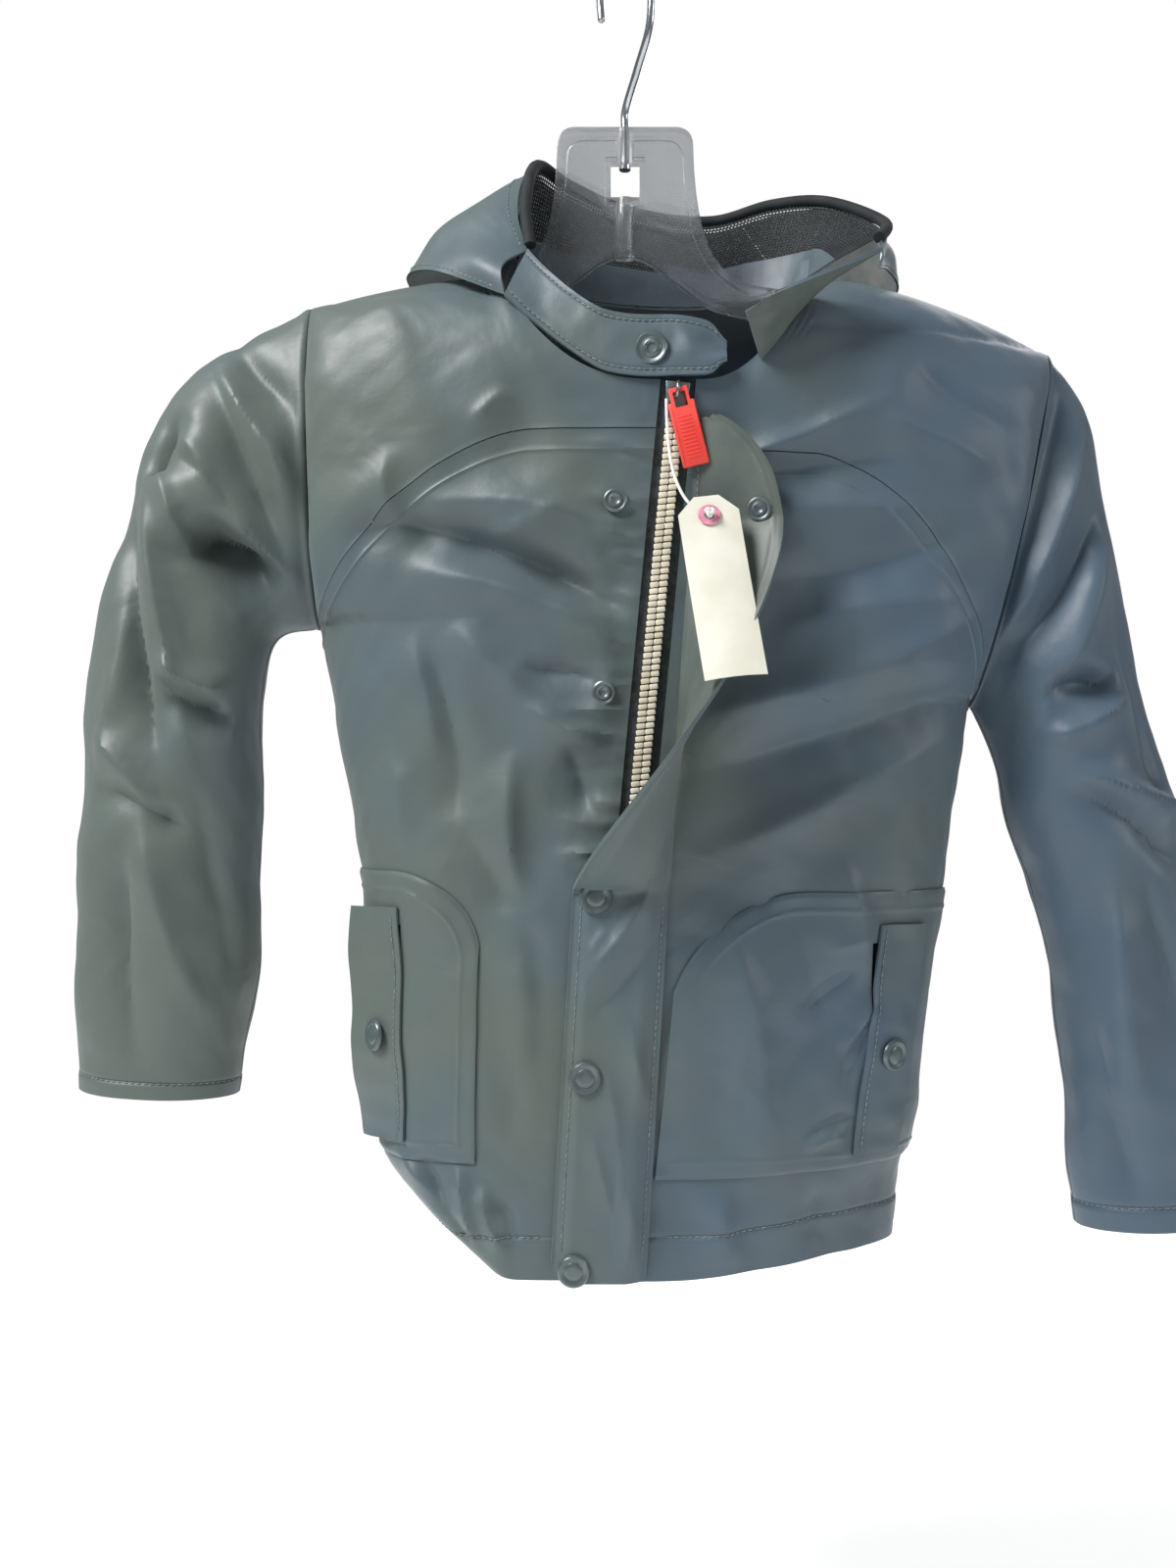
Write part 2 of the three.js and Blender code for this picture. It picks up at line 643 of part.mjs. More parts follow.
function makeSleeves() {
  const seam = 0.003; // half the slit of the sleeve's lengthwise seam, as a share of the way round
  const end = 0.995; // share of the sleeve's length where the cloth ends
  const cuffStart = end - CUFF_H / SLEEVE_L;
  for (const name of Object.keys(SIDES)) {
    const base = sleevePoint(name);
    const around = (u) => lerp(seam, 1 - seam, u);
    const sheet = (u, v, depth) => base(around(u), lerp(0, end, v), -depth);
    place(`${name}_sleeve`, clothSheet(sheet, 16, 12), shellGrey());
    const cuff = (u, v, depth) => base(around(u), lerp(cuffStart, end, v), -CLOTH - LIE_GAP - depth);
    place(`${name}_cuff_facing`, clothSheet(cuff, 16, 2, 0.8), linerGrey());
  }
}

// ---- collar, neck and hood ----
const COLLAR_TAB_X = 44; // how far the right collar's end reaches over the zip
const COLLAR_STAND = 4.5; // how far the collar's end stands off the zip slider
const COLLAR_SEWN = 3; // how far the left collar reaches below the neckline

function rightCollar(u, v) {
  const side = SIDES.right;
  const turn = 0.62; // where the collar leaves the neckline and crosses the zip
  const s = toShare(side.neckShare) * 0.6 * Math.max(0, 1 - u / turn);
  const at = frontPoint(side, s, frontTop(side, s), LIE_GAP);
  const past = Math.max(0, (u - turn) / (1 - turn));
  at.x = lerp(at.x, COLLAR_TAB_X, past);
  at.y -= COLLAR_STAND * smooth(u, turn * 0.6, 1) + 1.5;
  at.z += 1 + v * COLLAR_H * (1 - 0.25 * past * past);
  at.y += v * 3;
  return at;
}

// The left collar is sewn along the neckline and falls open, outwards.
function leftCollar() {
  const side = SIDES.left;
  const sewn = [0.45, 0.6, 0.73, 0.84].map((share) => {
    const s = toShare(side.neckShare) * share;
    return frontPoint(side, s, frontTop(side, s) - COLLAR_SEWN, 2 * LIE_GAP).toArray();
  });
  const low = rail(sewn);
  const high = rail([[51, -76, -203], [70, -76, -192], [96, -68, -179], [115, -55, -168]]);
  return (u, v) => low.getPoint(u).lerp(high.getPoint(u), v);
}

function makeCollar() {
  const out = (at) => V(at.x - 10, at.y, 0);
  const right = thick(rightCollar, out);
  place("right_collar", clothSheet(right, 14, 3, DOUBLE_CLOTH), shellGrey());
  place("left_collar", clothSheet(thick(leftCollar(), out), 8, 3, DOUBLE_CLOTH), shellGrey());
  const [at, under] = [right(0.6, 0.45, 0), right(0.6, 0.45, 1)];
  const normal = at.clone().sub(under).normalize();
  place("collar_snap", facing(snapCap(), at.addScaledVector(normal, LIE_GAP), normal), snapGrey());
}

function makeHangingLoop() {
  const drop = 12;
  const at = (q) => backPoint(q, backTop(q) - drop, -CLOTH - LIE_GAP - LOOP_R - 0.5);
  const [start, end] = [at(-0.05), at(0.02)];
  const middle = start.clone().lerp(end, 0.5).add(V(0, -9, -14));
  const bow = (near) => near.clone().lerp(middle, 0.55).add(V(0, -1, -3));
  const path = new THREE.CatmullRomCurve3([start, bow(start), middle, bow(end), end], false, "centripetal");
  const section = new THREE.Shape().absarc(0, 0, LOOP_R, 0, 2 * Math.PI);
  const course = { steps: 16, curveSegments: 4, extrudePath: path, bevelEnabled: false };
  place("hanging_loop", new THREE.ExtrudeGeometry(section, course), finish(0x2a3033, 0.8));
}

// Rings of the slumped hood, from its right front end round the back to its left front end.
const HOOD = {
  skirt: [[-56, -50, -188], [-93, -22, -168], [-107, 8, -164], [-90, 42, -178], [-40, 61, -196],
    [15, 66, -200], [72, 61, -198], [118, 42, -184], [134, 8, -170], [124, -22, -168], [116, -44, -174]],
  rim: [[-46, -33, -162], [-50, -22, -140], [-45, 2, -112], [-30, 26, -113], [-8, 36, -120],
    [20, 40, -126], [48, 40, -127], [76, 30, -122], [101, 10, -127], [124, -14, -146], [118, -32, -158]],
};
const NECK_TURN = 0.2; // share of the hood's neck seam that lies on each front
const HOOD_START = { right: 0.74, left: 0.94 }; // share of each front's neckline where the hood begins
const LINING_INSET = 2.4; // from the hood's edge to its lining

// A point of the neckline, from its right front (0) round the back to its left front (1).
function neckline(t) {
  const { right, left } = SIDES;
  const onFrontHalf = (side, share) => {
    const s = toShare(side.neckShare) * share;
    return frontPoint(side, s, frontTop(side, s));
  };
  if (t < NECK_TURN) return onFrontHalf(right, lerp(HOOD_START.right, 1, t / NECK_TURN));
  if (t > 1 - NECK_TURN) return onFrontHalf(left, lerp(HOOD_START.left, 1, (1 - t) / NECK_TURN));
  const round = (t - NECK_TURN) / (1 - 2 * NECK_TURN);
  const q = lerp(-toShare(right.neckShare), toShare(left.neckShare), round);
  return backPoint(q, backTop(q));
}
const HOOD_SWELL = 7; // how far the hood's cloth bulges
const HOOD_SEAMS = [0.36, 0.64]; // where the centre panel joins the side panels

function hoodShell(from, to) {
  const [skirt, rim] = [rail(HOOD.skirt), rail(HOOD.rim)];
  return (u, v) => {
    const t = lerp(from, to, u);
    const swell = HOOD_SWELL * Math.sin(Math.PI * v) * (1 - smooth(t, 0.78, 0.95));
    const at = skirt.getPoint(t).lerp(rim.getPoint(t), v * 0.97);
    const out = V(at.x - 15, at.y - 5, 25).normalize();
    return at.addScaledVector(out, swell);
  };
}

const outOfHood = (at) => V(at.x - 15, at.y - 5, 30);

function makeHood() {
  const [first, second] = HOOD_SEAMS;
  const gap = 0.0008;
  const panels = { right: [0, first - gap], centre: [first + gap, second - gap], left: [second + gap, 1] };
  for (const [name, [from, to]] of Object.entries(panels)) {
    place(`hood_${name}_panel`, clothSheet(thick(hoodShell(from, to), outOfHood), 9, 5), shellGrey());
  }
  const rim = rail(HOOD.rim);
  const inside = (at) => V(at.x - 15, at.y - 5, 0.1);
  const liner = (from, to) => (u, v) => {
    const share = lerp(from, to, v);
    const t = lerp(0.08, 0.96, u);
    const at = neckline(t).add(V(0, 0, LIE_GAP)).lerp(rim.getPoint(t), share);
    const inwards = V(20 - at.x, 5 - at.y, 0).normalize();
    return at.addScaledVector(inwards, LINING_INSET * smooth(share, 0, 0.4));
  };
  const facingTop = 0.4; // share of the lining's height that is solid facing
  const facingSheet = thick(liner(0, facingTop), inside);
  const meshSheet = thick(liner(facingTop + 0.012, 0.86), inside);
  place("hood_neck_facing", clothSheet(facingSheet, 20, 2, 0.8), linerGrey());
  place("hood_mesh_lining", clothSheet(meshSheet, 20, 2, 0.8), meshBlack());
  const bindingR = 2;
  const beyond = (at, i) => at.clone().sub(V(...HOOD.skirt[i])).setLength(bindingR + 2).add(at);
  const path = rail(HOOD.rim.map((at, i) => beyond(V(...at), i).toArray()));
  const section = new THREE.Shape().absarc(0, 0, bindingR, 0, 2 * Math.PI);
  const course = { steps: 36, curveSegments: 4, extrudePath: path, bevelEnabled: false };
  const binding = new THREE.ExtrudeGeometry(section, course);
  place("hood_edge_binding", binding, meshBlack());
}

// ---- hanger ----
const PLATE_TOP_Z = -HOOK_SHANK;

function hangerOutline(inset) {
  const half = PLATE_W / 2 - inset;
  const top = PLATE_TOP_Z - inset;
  const tipX = WING_REACH - inset;
  const tipZ = PLATE_TOP_Z - WING_DROP;
  const right = new THREE.Path();
  right.moveTo(0, top);
  right.lineTo(half - 9, top);
  right.quadraticCurveTo(half, top, half, top - 10);
  right.bezierCurveTo(half + 1, -145, 42 - inset, -164, 60, NECK_Z - CLOTH - LIE_GAP - 0.6 - inset);
  right.lineTo(tipX - 5, tipZ - inset + 6);
  right.quadraticCurveTo(tipX + 1, tipZ + 2 - inset, tipX, tipZ - 5);
  right.quadraticCurveTo(tipX - 1, tipZ - 11 + inset, tipX - 6, tipZ - 11 + inset);
  right.bezierCurveTo(90, -190 + inset, 60, -186 + inset, 44, -181 + inset);
  right.bezierCurveTo(28, -175 + inset, 16, -155 + inset, 0, -155 + inset);
  const points = right.getPoints(5);
  const other = points.slice(1, -1).reverse().map((p) => new THREE.Vector2(-p.x, p.y));
  return [...points, ...other];
}

function upright(shape, thickness) {
  const plate = new THREE.ExtrudeGeometry(shape, { depth: thickness, bevelEnabled: false });
  return plate.rotateX(Math.PI / 2).translate(0, thickness / 2, 0);
}

function makeHanger() {
  const recess = (RIM_T - PLATE_T) / 2;
  const inner = () => upright(new THREE.Shape(hangerOutline(RIM_W)), recess + 1);
  const reach = (PLATE_T + recess + 1) / 2;
  const rimmed = cut(
    upright(new THREE.Shape(hangerOutline(0)), RIM_T),
    inner().translate(0, reach, 0),
    inner().translate(0, -reach, 0),
  );
  const windowZ = PLATE_TOP_Z - WINDOW_DROP - WINDOW_H / 2;
  const frame = boxAt(WINDOW_W + 5, RIM_T, WINDOW_H + 5, 0, 0, windowZ);
  const postTop = PLATE_TOP_Z - 0.5;
  const postBottom = -156;
  const post = new THREE.CylinderGeometry(4.6, 4.6, postTop - postBottom, 16).rotateX(Math.PI / 2);
  post.translate(0, 0, (postTop + postBottom) / 2);
  const boreR = HOOK_WIRE_R + SHANK_CLEARANCE;
  const bore = new THREE.CylinderGeometry(boreR, boreR, 30, 16);
  bore.rotateX(Math.PI / 2).translate(0, 0, PLATE_TOP_Z - 5);
  const hole = boxAt(WINDOW_W, 20, WINDOW_H, 0, 0, windowZ);
  place("hanger_body", cut(join(rimmed, frame, post), hole, bore), finish(0xcfd6d8, 0.15));
}

function makeHook() {
  const swivel = THREE.MathUtils.degToRad(-HOOK_SWIVEL_DEG);
  const top = HOOK_WIRE_R;
  const centreZ = top - HOOK_R;
  const windowZ = PLATE_TOP_Z - WINDOW_DROP - 1;
  const shank = [[0, windowZ], [0, PLATE_TOP_Z], [0, PLATE_TOP_Z + 8]];
  const sweep = [[HOOK_R * 0.45, PLATE_TOP_Z + 24], [HOOK_R * 0.94, PLATE_TOP_Z + 42]];
  const points = [...shank, ...sweep].map(([x, z]) => V(x, 0, z));
  for (let a = -10; a <= 200; a += 30) {
    const turn = THREE.MathUtils.degToRad(a);
    points.push(V(HOOK_R * Math.cos(turn), 0, centreZ + HOOK_R * Math.sin(turn)));
  }
  const path = new THREE.CatmullRomCurve3(points, false, "centripetal");
  const section = new THREE.Shape().absarc(0, 0, HOOK_WIRE_R, 0, 2 * Math.PI);
  const course = { steps: 48, curveSegments: 5, extrudePath: path, bevelEnabled: false };
  const wire = new THREE.ExtrudeGeometry(section, course);
  const head = new THREE.CylinderGeometry(HOOK_HEAD_R, HOOK_HEAD_R, 3, 12).rotateX(Math.PI / 2);
  head.translate(0, 0, windowZ - 0.6);
  place("hanger_hook", join(wire, head).rotateZ(swivel), finish(0xb9bdc0, 0.25, 1));
}

// ---- swing tag ----
const TAG_PIVOT = [17, SLIDER_FRONT - LIE_GAP - STRING_R, -239]; // where its string comes off the slider
const TAG_TOP = [34, -74, -284];
const TAG_LEAN_DEG = 21;
const TAG_TURN_DEG = 7;
const TAG_HOLE_R = 2.4;
const TAG_HOLE_DROP = 10;
const TAG_CLIP = 8; // its cut-off top corners
const KNOT_R = 2.9;

function makeTag() {
  const half = TAG_W / 2;
  const card = cornered(THREE.Shape, [
    [-half, -TAG_H], [half, -TAG_H], [half, -TAG_CLIP], [half - TAG_CLIP, 0],
    [-half + TAG_CLIP, 0], [-half, -TAG_CLIP],
  ]);
  card.holes.push(new THREE.Path().absarc(0, -TAG_HOLE_DROP, TAG_HOLE_R, 0, 2 * Math.PI));
  const hung = new THREE.Group();
  hung.position.set(...TAG_TOP);
  hung.rotation.set(-THREE.MathUtils.degToRad(TAG_LEAN_DEG), -THREE.MathUtils.degToRad(TAG_TURN_DEG), 0);
  jacket.add(hung);
  hung.updateMatrixWorld(true);
  const sheet = new THREE.ExtrudeGeometry(card, { depth: TAG_T, bevelEnabled: false, curveSegments: 6 });
  place("swing_tag", sheet.rotateX(Math.PI / 2), finish(0xf2f2e6, 0.7), hung);
  const [inner, outer, ringT] = [TAG_HOLE_R, TAG_HOLE_R + 2.6, 0.4];
  const ring = lathe([[inner, 0], [outer, 0], [outer, ringT], [inner, ringT], [inner, 0]], 14);
  ring.rotateX(Math.PI / 2).translate(0, -TAG_T - SEAM_GAP, -TAG_HOLE_DROP);
  place("tag_ring", ring, finish(0xd98ba6, 0.7), hung);
  const knotY = -TAG_T - SEAM_GAP - ringT - LIE_GAP - KNOT_R * 0.6;
  makeString(hung.localToWorld(V(0, 1.5, -TAG_HOLE_DROP)), hung.localToWorld(V(0, knotY, -TAG_HOLE_DROP)));
}

// The string comes off the slider, goes through the card from behind and ends in a knot.
function makeString(behind, knotAt) {
  const free = [TAG_PIVOT, [17.2, -65.2, -248], [18.4, -67, -264], [21, -69.5, -276], [26, -72, -286]];
  const path = rail([...free, behind.toArray(), knotAt.toArray()]);
  const section = new THREE.Shape().absarc(0, 0, STRING_R, 0, 2 * Math.PI);
  const course = { steps: 28, curveSegments: 4, extrudePath: path, bevelEnabled: false };
  const knot = new THREE.SphereGeometry(KNOT_R, 10, 8).translate(...knotAt.toArray());
  place("tag_string", join(new THREE.ExtrudeGeometry(section, course), knot), finish(0xf4f4f2, 0.8));
}

makeFronts();
makeBack();
makePockets();
makePocketFlaps();
makeStuds();
makeEyelets();
makeZip();
makeSlider();
makePull();
makeFlapCloth();
makeFlapSnaps();
makeSleeves();
makeCollar();
makeHangingLoop();
makeHood();
makeHanger();
makeHook();
makeTag();

jacket.updateMatrixWorld(true);
export default jacket;
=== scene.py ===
# A child's foul weather jacket in coated cloth, hung on a clear hanger. Forms are given in millimetres and
# made in metres. +X is the wearer's left, -Y the front, +Z up; the origin is the inside top of the hook.
import math

import bpy
import numpy as np
from mathutils import Matrix, Vector


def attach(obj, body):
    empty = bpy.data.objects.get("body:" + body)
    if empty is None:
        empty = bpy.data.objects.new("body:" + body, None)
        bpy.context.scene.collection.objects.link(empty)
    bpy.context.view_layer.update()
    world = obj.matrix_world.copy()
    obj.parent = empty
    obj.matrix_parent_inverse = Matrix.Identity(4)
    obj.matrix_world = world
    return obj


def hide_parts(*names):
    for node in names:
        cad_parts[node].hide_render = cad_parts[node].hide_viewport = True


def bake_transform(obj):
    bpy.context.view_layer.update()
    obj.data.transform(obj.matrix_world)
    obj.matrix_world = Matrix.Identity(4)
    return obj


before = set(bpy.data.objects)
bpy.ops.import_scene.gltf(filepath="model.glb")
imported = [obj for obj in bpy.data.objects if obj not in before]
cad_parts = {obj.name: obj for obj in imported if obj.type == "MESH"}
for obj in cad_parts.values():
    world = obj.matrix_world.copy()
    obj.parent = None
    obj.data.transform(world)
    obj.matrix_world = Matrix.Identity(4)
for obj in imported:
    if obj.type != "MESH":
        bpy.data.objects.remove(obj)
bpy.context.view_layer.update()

# ---- camera ----
# It stands level with the jacket's chest, an arm's length and a half in front of it, and takes it in whole.
CAMERA_PLACE = (-0.018, -0.80, -0.411)
CAMERA_LENS = 37.8

camera = bpy.data.objects.new("camera", bpy.data.cameras.new("camera"))
bpy.context.collection.objects.link(camera)
camera.data.lens = CAMERA_LENS
camera.location = CAMERA_PLACE
camera.rotation_euler = (math.radians(90), 0, 0)
bpy.context.scene.camera = camera

# ---- swing tag ----
# A blank card with cut-off top corners and a paper ring round its hole. A white cotton string is looped on the
# zip slider, comes through the hole from behind and ends in a knot. The card has taken a slight curl.
MM = 0.001
TAG_TOP = (34, -74, -284)
TAG_LEAN = 21
TAG_TURN = 7
TAG_W, TAG_H, TAG_T = 27, 88, 0.6
TAG_CLIP = 8
TAG_HOLE_DROP, TAG_HOLE_R = 10, 2.4
TAG_CURL = 1.6
RING_R, RING_T = 5.0, 0.4
STRING_R = 0.7
STRING_ROUTE = [
    (17, -64.95, -239), (17.2, -65.2, -248), (18.4, -67, -264), (21, -69.5, -276), (26, -72, -286)
]
STRING_BEHIND, STRING_KNOT = (35.22, -76.16, -293.8), (35.22, -80.77, -292.03)
KNOT_R = 1.7


def shade(red, green, blue):
    """The light that a colour of 0 to 255 on a screen reflects."""
    parts = np.array([red, green, blue]) / 255.0
    light = np.where(parts <= 0.04045, parts / 12.92, ((parts + 0.055) / 1.055) ** 2.4)
    return (*(float(x) for x in light), 1.0)


def node(material, kind, **values):
    """A node of a material, with its numbers set by the names of its sockets."""
    made = material.node_tree.nodes.new(kind)
    for socket, value in values.items():
        made.inputs[socket].default_value = value
    return made


def finish(name, dark, light, patch, roughness, grain, relief, **gloss):
    """Mottled between two tones in patches, with a fine grain in its gloss and its surface. Sizes in metres."""
    material = bpy.data.materials.new(name)
    material.use_nodes = True
    link = material.node_tree.links.new
    surface = material.node_tree.nodes["Principled BSDF"]
    for socket, value in gloss.items():
        surface.inputs[socket.replace("_", " ")].default_value = value
    place = node(material, "ShaderNodeTexCoord")
    mottle = node(material, "ShaderNodeTexNoise", Scale=1 / patch, Detail=4.0)
    tones = node(material, "ShaderNodeValToRGB")
    tones.color_ramp.elements[0].position, tones.color_ramp.elements[0].color = 0.35, dark
    tones.color_ramp.elements[1].position, tones.color_ramp.elements[1].color = 0.65, light
    speck = node(material, "ShaderNodeTexNoise", Scale=1 / grain, Detail=2.0)
    spread = node(material, "ShaderNodeMapRange")
    spread.inputs["To Min"].default_value = roughness * 0.8
    spread.inputs["To Max"].default_value = min(1.0, roughness * 1.2)
    bump = node(material, "ShaderNodeBump", Strength=0.6, Distance=relief)
    for noise in (mottle, speck):
        link(place.outputs["Object"], noise.inputs["Vector"])
    link(mottle.outputs["Fac"], tones.inputs["Fac"])
    link(tones.outputs["Color"], surface.inputs["Base Color"])
    link(speck.outputs["Fac"], spread.inputs["Value"])
    link(spread.outputs["Result"], surface.inputs["Roughness"])
    link(speck.outputs["Fac"], bump.inputs["Height"])
    link(bump.outputs["Normal"], surface.inputs["Normal"])
    return material


def choose(*pieces):
    """Makes these pieces the only ones that the next operators act on."""
    bpy.ops.object.select_all(action="DESELECT")
    for piece in pieces:
        piece.select_set(True)
    bpy.context.view_layer.objects.active = pieces[0] if pieces else None


def shape(piece, kind, **settings):
    """Puts a modifier on a piece and applies it."""
    choose(piece)
    modifier = piece.modifiers.new(kind.lower(), kind)
    for setting, value in settings.items():
        setattr(modifier, setting, value)
    bpy.ops.object.modifier_apply(modifier=modifier.name)


def cut(piece, tool, how="DIFFERENCE"):
    """Cuts a tool's shape out of a piece, or joins it on, and puts the tool away."""
    shape(piece, "BOOLEAN", object=tool, operation=how, solver="EXACT")
    bpy.data.objects.remove(tool)


def block(size, at=(0, 0, 0), edge=0.0):
    """A block with rounded edges, in millimetres."""
    choose()
    bpy.ops.mesh.primitive_cube_add(size=1)
    piece = bpy.context.object
    piece.data.transform(Matrix.Diagonal((*(x * MM for x in size), 1)))
    if edge:
        shape(piece, "BEVEL", width=edge * MM, segments=2)
    piece.data.transform(Matrix.Translation(Vector(at) * MM))
    return piece


def spun(profile, at=(0, 0, 0), towards=(0, 0, 1), steps=28):
    """A piece turned on a lathe from (radius, height) corners, which then faces `towards`."""
    mesh = bpy.data.meshes.new("turned")
    mesh.from_pydata(
        [(r * MM, 0, h * MM) for r, h in profile], [(i, i + 1) for i in range(len(profile) - 1)], []
    )
    piece = bpy.data.objects.new("turned", mesh)
    bpy.context.collection.objects.link(piece)
    choose(piece)
    bpy.ops.object.mode_set(mode="EDIT")
    bpy.ops.mesh.select_all(action="SELECT")
    bpy.ops.mesh.spin(steps=steps, angle=2 * math.pi, center=(0, 0, 0), axis=(0, 0, 1))
    bpy.ops.mesh.select_all(action="SELECT")
    bpy.ops.mesh.remove_doubles(threshold=1e-6)
    bpy.ops.mesh.normals_make_consistent(inside=False)
    bpy.ops.object.mode_set(mode="OBJECT")
    turn = Vector((0, 0, 1)).rotation_difference(Vector(towards)).to_matrix().to_4x4()
    mesh.transform(Matrix.Translation(Vector(at) * MM) @ turn)
    return piece


def strand(points, radius, knotted=False):
    """A round strand through points in millimetres, as a curve of one smooth spline."""
    curve = bpy.data.curves.new("strand", "CURVE")
    curve.dimensions = "3D"
    curve.bevel_depth, curve.bevel_resolution, curve.resolution_u = radius * MM, 4, 6
    curve.use_fill_caps = True
    spline = curve.splines.new("BEZIER")
    spline.bezier_points.add(len(points) - 1)
    for knot, point in zip(spline.bezier_points, points):
        knot.co = Vector([float(x) for x in point]) * MM
        knot.handle_left_type = knot.handle_right_type = "AUTO"
    spline.use_cyclic_u = knotted
    piece = bpy.data.objects.new("strand", curve)
    bpy.context.collection.objects.link(piece)
    return piece


def wire(points, radius, knotted=False):
    """A strand made a mesh."""
    piece = strand(points, radius, knotted)
    choose(piece)
    bpy.ops.object.convert(target="MESH")
    return piece


def rail(points):
    """A smooth line through points: gives its place at shares from 0 to 1, counted over its stretches."""
    knots = np.array(points, float)
    line = np.vstack([2 * knots[0] - knots[1], knots, 2 * knots[-1] - knots[-2]])

    def at(share):
        along = np.clip(np.asarray(share, float), 0, 1) * (len(knots) - 1)
        step = np.minimum(along.astype(int), len(knots) - 2)
        t = (along - step)[..., None]
        a, b, c, d = (line[step + k] for k in range(4))
        first, middle, last = (
            np.maximum(np.sum((q - p) ** 2, axis=-1, keepdims=True) ** 0.25, 1e-4)
            for p, q in ((a, b), (b, c), (c, d))
        )
        start = ((b - a) / first - (c - a) / (first + middle) + (c - b) / middle) * middle
        end = ((c - b) / middle - (d - b) / (middle + last) + (d - c) / last) * middle
        return b + start * t + (3 * (c - b) - 2 * start - end) * t**2 + (2 * (b - c) + start + end) * t**3

    return at


def fit(piece, name, material, slot, body, *nodes, angle=40):
    """Names a finished piece, smooths it, gives it its finish and fixes it to its body in place of its nodes."""
    piece.name = piece.data.name = name
    piece.data.materials.clear()
    piece.data.materials.append(material)
    if piece.type == "MESH":
        choose(piece)
        bpy.ops.object.shade_smooth_by_angle(angle=math.radians(angle))
    if body:
        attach(piece, body)
    if nodes:
        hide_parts(*nodes)
    return piece


def make_tag():
    hung = (
        Matrix.Translation(Vector(TAG_TOP) * MM)
        @ Matrix.Rotation(-math.radians(TAG_LEAN), 4, "X")
        @ Matrix.Rotation(-math.radians(TAG_TURN), 4, "Y")
    )
    choose()
    bpy.ops.mesh.primitive_grid_add(x_subdivisions=18, y_subdivisions=44, size=1)
    card = bpy.context.object
    upright = Matrix.Translation((0, 0, -TAG_H / 2 * MM)) @ Matrix.Rotation(math.pi / 2, 4, "X")
    card.data.transform(upright @ Matrix.Diagonal((TAG_W * MM, TAG_H * MM, 1, 1)))
    bpy.ops.object.mode_set(mode="EDIT")
    for side in (-1, 1):
        bpy.ops.mesh.select_all(action="SELECT")
        corner = (side * (TAG_W / 2 - TAG_CLIP) * MM, 0, 0)
        bpy.ops.mesh.bisect(plane_co=corner, plane_no=(side, 0, 1), clear_outer=True)
    bpy.ops.object.mode_set(mode="OBJECT")
    shape(card, "SOLIDIFY", thickness=TAG_T * MM, offset=-1)
    cut(card, spun([(0, -3), (TAG_HOLE_R, -3), (TAG_HOLE_R, 3), (0, 3)], (0, 0, -TAG_HOLE_DROP), (0, -1, 0)))
    for corner in card.data.vertices:
        x, z = corner.co.x / (TAG_W / 2 * MM), -corner.co.z / (TAG_H * MM)
        corner.co.y += TAG_CURL * MM * (x * x * min(1.0, 2.5 * z) - 0.9 * max(0.0, z - 0.3) ** 2)
    card.data.transform(hung)
    paper = finish("tag_paper", shade(216, 214, 198), shade(226, 224, 211), 0.02, 0.62, 0.0004, 0.00002)
    fit(card, "tag_card", paper, "tag_card", "tag", "swing_tag", angle=30)
    ring_profile = [
        (TAG_HOLE_R, 0), (RING_R, 0), (RING_R, RING_T - 0.1), (RING_R - 0.1, RING_T), (TAG_HOLE_R, RING_T)
    ]
    ring_at = (0, -TAG_T - 0.05, -TAG_HOLE_DROP)
    ring = spun([*ring_profile, ring_profile[0]], ring_at, (0, -1, 0))
    ring.data.transform(hung)
    pink = finish("ring_paper", shade(203, 120, 146), shade(222, 146, 168), 0.004, 0.6, 0.0003, 0.00002)
    fit(ring, "tag_paper_ring", pink, "ring_card", "tag", "tag_ring")
    course = rail([*STRING_ROUTE, STRING_BEHIND, STRING_KNOT])
    string = strand(course(np.linspace(0, 1, 19)), STRING_R)
    cotton = finish("tag_cotton", shade(222, 222, 218), shade(244, 244, 241), 0.003, 0.8, 0.0002, 0.00015)
    fit(string, "tag_cord", cotton, "tag_string", "tag", "tag_string")
    turns = np.linspace(0, 2 * math.pi, 25)[:-1]
    loops = [
        (math.sin(a) + 2 * math.sin(2 * a), -math.sin(3 * a), math.cos(a) - 2 * math.cos(2 * a)) for a in turns
    ]
    knot = wire([np.array(STRING_KNOT) + KNOT_R / 3 * np.array(p) for p in loops], STRING_R * 1.1, True)
    fit(knot, "tag_knot", cotton, "tag_string", "tag")


make_tag()

# ---- fronts and yokes ----
# Each front is cut in two: a lower panel and a shoulder yoke of knitted polyester with a soft rubbery coating,
# welded together in a double line. The hem is turned up and sewn. The body of the jacket is a soft tube.
CLOTH = 1.2
NECK_Z, FRONT_NECK_Z, HEM_Z = -167, -229, -640
FRONT_DEPTH, BACK_DEPTH, SHOULDER_ROLL = 60, 48, 66
ZIP_TOP, ZIP_BOTTOM = (22.5, -230), (-15.5, -630)
ZIP_EXPOSED = 16
SEAM_GAP = 0.3
FULLNESS = 0.77
HEM_TURN = 20
WELD_W = 9.5
SIDES = {
    "right": dict(sign=-1, neck_share=0.5, shoulder=(-151, -181), armpit=(-147, -335), waist=(-125, -459),
                  hem=(-114, -640), armhole=33, yoke_high=-251, yoke_low=-337),
    "left": dict(sign=1, neck_share=0.3, shoulder=(203, -203), armpit=(166, -372), waist=(151, -462),
                 hem=(127, -640), armhole=33, yoke_high=-262, yoke_low=-366),
}
